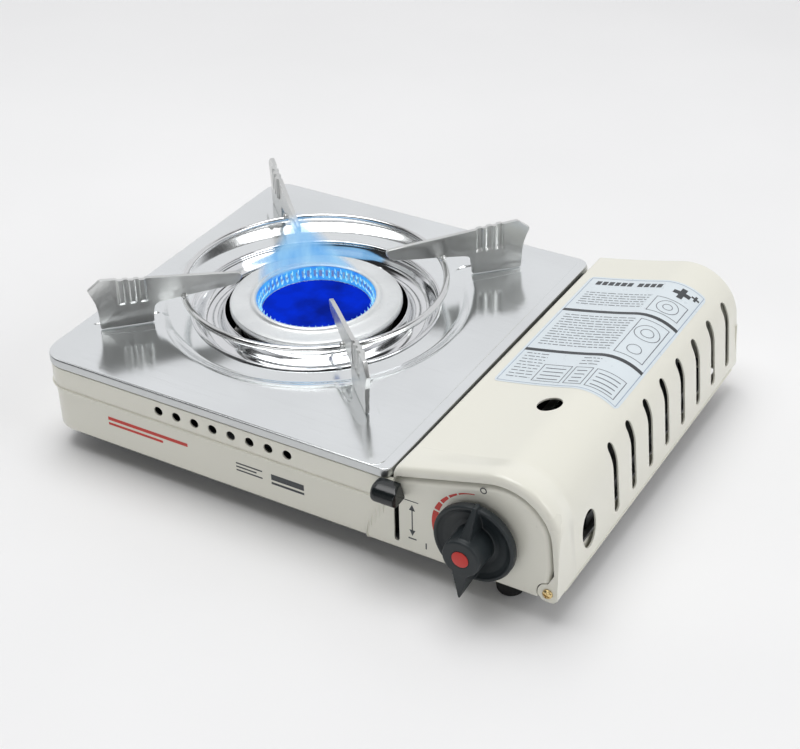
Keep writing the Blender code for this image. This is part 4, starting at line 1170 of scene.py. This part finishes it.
def make_knob():
    """A dished skirt, a hub, a tall fin above and a long pointed prow below, moulded as one."""
    x, z, face = KNOB_X, KNOB_Z, DIAL_FRONT
    forward = Matrix.Translation((x, 0, z)) @ Matrix.Rotation(pi / 2, 4, "X")
    # Section heights run towards the front: height h lies at y = -h.
    skirt = lathe("skirt", [(0.0, 123.3), (22.6, 123.3), (23.6, 123.5), (23.9, 124.2), (23.9, 127.2),
                            (23.5, 128.0), (22.8, 128.3), (21.9, 128.2), (21.2, 127.5), (19.0, 126.3),
                            (14.0, 125.2), (0.0, 124.9)], 120, turn=forward)
    hub = lathe("hub", [(0.0, 121.2), (8.0, 121.2), (8.2, 123.6), (11.3, 124.0), (11.2, 130.0),
                        (11.2, 138.0), (11.0, 141.3), (10.3, 142.15), (5.2, 142.2), (5.0, 141.6),
                        (0.0, 141.6)], 80, turn=forward)
    fin = hull("fin", mirrored(x, [(3.3, -140.9, z + 8), (4.2, -124.2, z + 6), (1.1, -129.6, z + 25.4),
                                   (1.4, -124.6, z + 25.4)]))
    prow = hull("prow", mirrored(x, [(4.8, face + 0.1, z - 8.5), (5.2, -124.4, z - 8),
                                     (0.5, face + 0.3, z - 26.4), (0.6, -137.0, z - 25.4),
                                     (2.6, -125.2, z - 20.0)]))
    # Fin and prow lean a little clockwise, as seen from the front.
    axis = Matrix.Translation((x * MM, 0, z * MM))
    for blade, lean in ((fin, 4.0), (prow, 1.8)):
        blade.data.transform(axis @ Matrix.Rotation(radians(lean), 4, "Y") @ axis.inverted())
    body = mould(merge("dial", [skirt, hub, fin, prow]), 0.4, 2)
    cut(body, [cutter(circle(x, z, 3.05, 24), "XZ", -128.4, -119.0)], smooth=50.0)
    dress(body, charcoal, "knob", ("knob_body",))
    disc = lathe("dial_disc", [(0.0, 141.9), (4.85, 141.9), (4.9, 142.2), (4.5, 142.45), (0.0, 142.5)], 48,
                 turn=forward)
    dress(disc, red, "knob", ("knob_dot",))


def make_lever():
    """The grip bulges forwards between a round left end and a slanting right end."""
    section = smooth_line([(-120.4, 61.3), (-126.0, 61.3), (-129.6, 60.0), (-131.6, 57.6), (-132.2, 55.0),
                           (-131.4, 52.8), (-128.8, 51.4), (-124.0, 51.6), (-120.4, 52.6)], 5)
    middle_y, middle_z = -124.0, 56.5
    points = []
    for y, z in section:
        points += [(x, middle_y + (y - middle_y) * size, middle_z + (z - middle_z) * size)
                   for x, size in ((64.3, 0.55), (64.8, 0.72), (65.6, 0.87), (66.6, 0.96), (68.0, 1.0))]
        points.append((min(83.0 + 0.29 * (y + 121.0), 78.4 + 1.64 * (61.3 - z), 81.0 + 0.4 * (z - 52.6)),
                       y, z))
    grip = mould(hull("lever_grip", points), 0.25, 4)
    dress(grip, lever_plastic, "lever", ("lever_knob",))


# --- small parts --------------------------------------------------------------------------
def make_hinge_screws():
    """Two cross-headed screws; each section is drawn outwards from the wall."""
    for name, sense in (("screw_front", -1), ("screw_back", 1)):
        node = "hinge_" + name
        low, high = box_mm(node)
        head = (high[0] - low[0]) / 2
        tip, end = (low[1], high[1]) if sense < 0 else (high[1], low[1])
        seat = tip - sense * 2.1
        dome = [(head * cos(t), seat + sense * (0.5 + 1.6 * sin(t))) for t in (0.0, 0.3, 0.6, 0.9, 1.2)]
        screw = lathe(name, [(0.0, end), (1.2, end), (1.5, end + sense * 0.4), (1.5, seat), (head, seat)]
                      + dome + [(0.0, tip)], 40, turn=ALONG_HINGE)
        near, far = sorted((tip - sense * 1.2, tip + sense))
        cross = []
        for angle in (20, 110):
            groove = cutter([(-1.8, -0.45), (1.8, -0.45), (1.8, 0.45), (-1.8, 0.45)], "XZ", near, far)
            groove.data.transform(Matrix.Translation((HINGE_X * MM, 0, HINGE_Z * MM))
                                  @ Matrix.Rotation(radians(angle), 4, "Y"))
            cross.append(groove)
        cut(screw, cross, smooth=35.0)
        dress(screw, brass, "lid", (node,))


def make_feet():
    """Four turned rubber feet, each with a dimple underneath."""
    for node in ("foot_front_left", "foot_front_right", "foot_back_left", "foot_back_right"):
        low, high = box_mm(node)
        centre = ((low[0] + high[0]) / 2, (low[1] + high[1]) / 2)
        foot = lathe(node.replace("foot", "rubber_foot"), [
            (0.0, high[2]), (7.8, high[2]), (8.2, high[2] - 0.5), (8.15, 4.2), (7.9, 2.4), (7.2, 1.0),
            (6.2, 0.25), (5.2, 0.0), (2.6, 0.0), (2.4, 1.6), (0.0, 1.6)], 48, centre)
        dress(foot, rubber, "stove_body", (node,))


# --- flame --------------------------------------------------------------------------------
def flame_material(name, scale, near, far, strength, contrast=(0.3, 0.7), detail=3.0, stretch=None,
                   alpha=None, **sockets):
    """Gives light in a colour that wanders between two shades; with an alpha it also fades by "veil"."""
    n = Nodes(name)
    lick = n.noise(scale, detail, stretch)
    tint = n.blend(n.span(lick, *contrast), near, far)
    settings = {"Base_Color": (0.0, 0.0, 0.0), "Roughness": 1.0, "Specular_IOR_Level": 0.0, **sockets}
    if alpha:
        settings["Alpha"] = n.math("MULTIPLY", n.span(n.named_value("veil"), 0.0, 0.8, 0.0, alpha),
                                   n.span(lick, 0.25, 0.60, 0.6, 1.0))
    return n.set(Emission_Color=tint, Emission_Strength=strength, **settings)


def flame_jet(root, tip, wide, turn):
    """A small pointed jet between two (radius, height) points, lens-shaped along its length."""
    rings = []
    for t, size in ((0.0, 0.35), (0.2, 0.9), (0.45, 1.0), (0.7, 0.7), (0.9, 0.3), (1.0, 0.05)):
        r, z = root[0] + (tip[0] - root[0]) * t, root[1] + (tip[1] - root[1]) * t
        rings.append([turn @ Vector((r + 0.45 * size * cos(a), wide * size * sin(a), z))
                      for a in (2 * pi * i / 8 for i in range(8))])
    return grid("jet", rings, close_columns=True, smooth=80.0)


def make_jets():
    """The ring of jets at the ports: each is a lower and an upper stroke, leaning a little."""
    jets = []
    count = 56
    for k in range(count):
        angle = 2 * pi * k / count
        turn = Matrix.Translation((*BURNER, TOP)) @ Matrix.Rotation(angle, 4, "Z")
        lean = 0.3 * sin(5 * angle)
        jets.append(flame_jet((35.9, -7.6), (34.0, -3.0 + lean), 0.62, turn))
        jets.append(flame_jet((36.2, -3.6), (35.3, 0.4 + lean), 0.45, turn))
    dress(merge("flame_jets", jets),
          flame_material("flame_jet_white", 400.0, (0.10, 0.50, 1.0), (0.55, 0.92, 1.0), 1.1))


def make_veil(k, radius, size, alpha):
    """One curved sheet of the tall flame on the back of the ring, with edges that fade out."""
    middle, wide, tall = radians(134.0), 41.0, 43.0
    up_steps, across_steps = 24, 40
    rows, weights = [], []
    for i in range(up_steps + 1):
        t = i / up_steps
        row = []
        for j in range(across_steps + 1):
            u = 2 * j / across_steps - 1
            along = size * wide * u * (1.0 - 0.28 * t)
            swing = along - 5.0 * t + 1.6 * sin(5.0 * t + 2.0 * k)
            reach = radius + 1.4 * sin(2.6 * u + 4.0 * t + k) - 3.0 * t
            angle = middle - swing / 38.0
            row.append((BURNER[0] + reach * cos(angle), BURNER[1] + reach * sin(angle),
                        TOP + 1.6 + size * tall * t))
            # The sheet is full low down and narrows to a ragged tongue.
            tongue = 0.72 * (1.0 - t) ** 1.9 + 0.44 * (1.0 - t) ** 0.3
            edge = tongue * (1.0 + 0.12 * sin(9.0 * t + 3.0 * u + k)) - abs(u)
            weights.append(max(0.0, min(1.0, edge / 0.42)) * ease((1.0 - t) / 0.24)
                           * ease(t / 0.06 + 0.3))
        rows.append(row)
    name = "flame_veil_%d" % (k + 1)
    material = flame_material(name, 75.0 + 12.0 * k, (0.14, 0.44, 0.92), (0.44, 0.76, 1.0), 0.95,
                              stretch=(1.0, 1.0, 0.4), alpha=alpha)
    veil = grid(name, rows, smooth=80.0)
    store_value(veil, "veil", weights)
    dress(veil, material)


def make_flame():
    """The lit burner: a blue floor, a ring of small jets, a glow on the ports and the tall flame."""
    floor = [(0.0, -7.6), (20.0, -7.7), (31.0, -8.0), (34.6, -8.5), (34.4, -8.9), (31.0, -8.6),
             (20.0, -8.3), (0.0, -8.2)]
    band = [(35.0, -8.3), (36.35, -6.0), (36.75, -2.4), (37.15, 0.2), (37.25, 0.2), (36.95, -2.4),
            (36.6, -6.0), (35.4, -8.4)]
    dress(lathe("flame_floor", above_plate(floor), 96, BURNER),
          flame_material("flame_floor_blue", 45.0, (0.004, 0.016, 0.26), (0.003, 0.03, 0.66), 0.95,
                         (0.35, 0.65), 4.0, Base_Color=(0.0, 0.0, 0.02)))
    make_jets()
    dress(lathe("flame_band", above_plate(band), 120, BURNER),
          flame_material("flame_band_cyan", 120.0, (0.02, 0.22, 0.95), (0.10, 0.55, 1.0), 0.85,
                         Base_Color=(0.0, 0.02, 0.1), Roughness=0.6, Specular_IOR_Level=0.5))
    for k, (radius, size, alpha) in enumerate(((34.6, 0.84, 0.66), (37.2, 1.0, 0.70), (39.8, 0.90, 0.66))):
        make_veil(k, radius, size, alpha)


# --- the CAD nodes that stay --------------------------------------------------------------
KEPT = {
    # The partition is painted near black as shade in the gap beside the plate.
    shade_steel: ("partition_wall",),
    # The base pan, rails and tab take the dark bay steel: painted shade inside the bay.
    shaded_bay_steel: ("base_pan", "canister_rail_left", "canister_rail_right", "canister_guide_tab"),
    galvanised: ("burner_bracket", "bracket_post_left", "bracket_post_right", "igniter_cam",
                 "lever_arm", "lock_slide"),
    cast_metal: ("burner_body", "mixing_tube", "regulator_body", "regulator_cover"),
    brass: ("injector_nozzle", "gas_tube", "valve_spindle"),
    zinc: ("bracket_screw_left", "bracket_screw_right", "electrode_rod"),
    red: ("igniter_plunger",),
    black_plastic: ("igniter_housing",),
    ceramic: ("electrode_insulator",),
    insulation: ("igniter_wire",),
}


def dress_kept_nodes():
    for material, names in KEPT.items():
        for name in names:
            obj = frame["nodes"][name]
            if not obj.material_slots:
                obj.data.materials.append(material)
            for slot in obj.material_slots:
                slot.material = material


# --- studio -------------------------------------------------------------------------------
def make_floor():
    n = Nodes("floor_paper")
    tint = n.blend(n.span(n.noise(3.0, 3.0), 0.3, 0.7), (0.86, 0.86, 0.86), (0.90, 0.90, 0.90))
    n.set(Base_Color=tint, Roughness=0.9, Specular_IOR_Level=0.2)
    half = 9000
    floor = grid("floor", [[(-half, y, 0.0), (half, y, 0.0)] for y in (-half, half)], smooth=0)
    floor.data.materials.append(n.material)


def make_world():
    """What the polished metal reflects: grey zones by height, unlike before and behind the stove."""
    world = bpy.data.worlds.new("studio")
    bpy.context.scene.world = world
    world.use_nodes = True
    tree = world.node_tree

    def node(kind, **settings):
        made = tree.nodes.new(kind)
        for key, value in settings.items():
            setattr(made, key, value)
        return made

    def ramp(source, stops):
        """Grey by direction, for a source from -1 to 1; positions run from 0 to 1."""
        unit = node("ShaderNodeMapRange")
        unit.inputs["From Min"].default_value = -1.0
        tree.links.new(source, unit.inputs["Value"])
        made = node("ShaderNodeValToRGB")
        made.color_ramp.interpolation = "EASE"
        elements = made.color_ramp.elements
        while len(elements) < len(stops):
            elements.new(0.5)
        for element, (position, shade) in zip(elements, stops):
            element.position = position
            element.color = (shade, shade, shade * 1.02, 1.0)
        tree.links.new(unit.outputs["Result"], made.inputs["Fac"])
        return made.outputs["Color"]

    split = node("ShaderNodeSeparateXYZ")
    tree.links.new(node("ShaderNodeTexCoord").outputs["Generated"], split.inputs["Vector"])
    # Bright wall behind the stove, dark one before it, and a dark gap below the overhead light.
    behind = ramp(split.outputs["Z"], ((0.0, 0.7), (0.5, 0.92), (0.86, 0.92), (0.90, 0.05),
                                       (0.945, 0.05), (0.97, 1.2)))
    before = ramp(split.outputs["Z"], ((0.0, 0.5), (0.52, 0.07), (0.64, 0.22), (0.70, 0.03),
                                       (0.945, 0.03), (0.97, 1.2)))
    side = ramp(split.outputs["Y"], ((0.36, 0.0), (0.56, 1.0)))
    mix = node("ShaderNodeMix", data_type="RGBA")
    tree.links.new(side, mix.inputs["Factor"])
    tree.links.new(before, mix.inputs["A"])
    tree.links.new(behind, mix.inputs["B"])
    background = tree.nodes["Background"]
    tree.links.new(mix.outputs["Result"], background.inputs["Color"])
    background.inputs["Strength"].default_value = 0.85


def softbox(name, location, target, size, energy):
    """A rectangular lamp in metres that points at a target."""
    light = bpy.data.lights.new(name, "AREA")
    light.shape = "RECTANGLE"
    light.size, light.size_y = size
    light.energy = energy
    obj = add_object(name, light)
    obj.location = location
    obj.rotation_euler = (Vector(target) - Vector(location)).to_track_quat("-Z", "Y").to_euler()


def make_studio():
    make_floor()
    make_world()
    softbox("key_softbox", (-0.3, 0.1, 1.7), (0.0, 0.0, 0.05), (1.5, 1.2), 17.0)
    softbox("side_softbox", (1.7, 0.1, 1.0), (0.1, 0.0, 0.05), (1.0, 0.8), 7.0)
    softbox("fill_softbox", (0.3, -1.9, 0.8), (0.0, 0.0, 0.05), (1.8, 0.8), 6.5)
    bpy.context.scene.view_settings.view_transform = "Standard"


def make_camera():
    """The photograph's viewing angle: from the front right and above, with a slight roll."""
    azimuth, elevation, roll = radians(30.9), radians(33.53), radians(-1.28)
    distance = 976.6
    target = Vector((29.2, -36.3, TOP))
    back = Vector((sin(azimuth) * cos(elevation), -cos(azimuth) * cos(elevation), sin(elevation)))
    right = Vector((cos(azimuth), sin(azimuth), 0.0))
    up = back.cross(right)
    right, up = right * cos(roll) + up * sin(roll), up * cos(roll) - right * sin(roll)
    camera_data = bpy.data.cameras.new("camera")
    camera_data.sensor_width = 36.0
    camera_data.lens = 76.0
    camera_data.clip_start = 0.01
    camera = add_object("camera", camera_data)
    rotation = Matrix((right, up, back)).transposed().to_4x4()
    camera.matrix_world = Matrix.Translation((target + back * distance) * MM) @ rotation
    bpy.context.scene.camera = camera


make_camera()
make_studio()
make_shell()
flat_marks()
make_plate()
make_dish()
make_burner()
make_trivet()
make_lid()
make_label()
make_knob()
make_lever()
make_hinge_screws()
make_feet()
make_flame()
dress_kept_nodes()
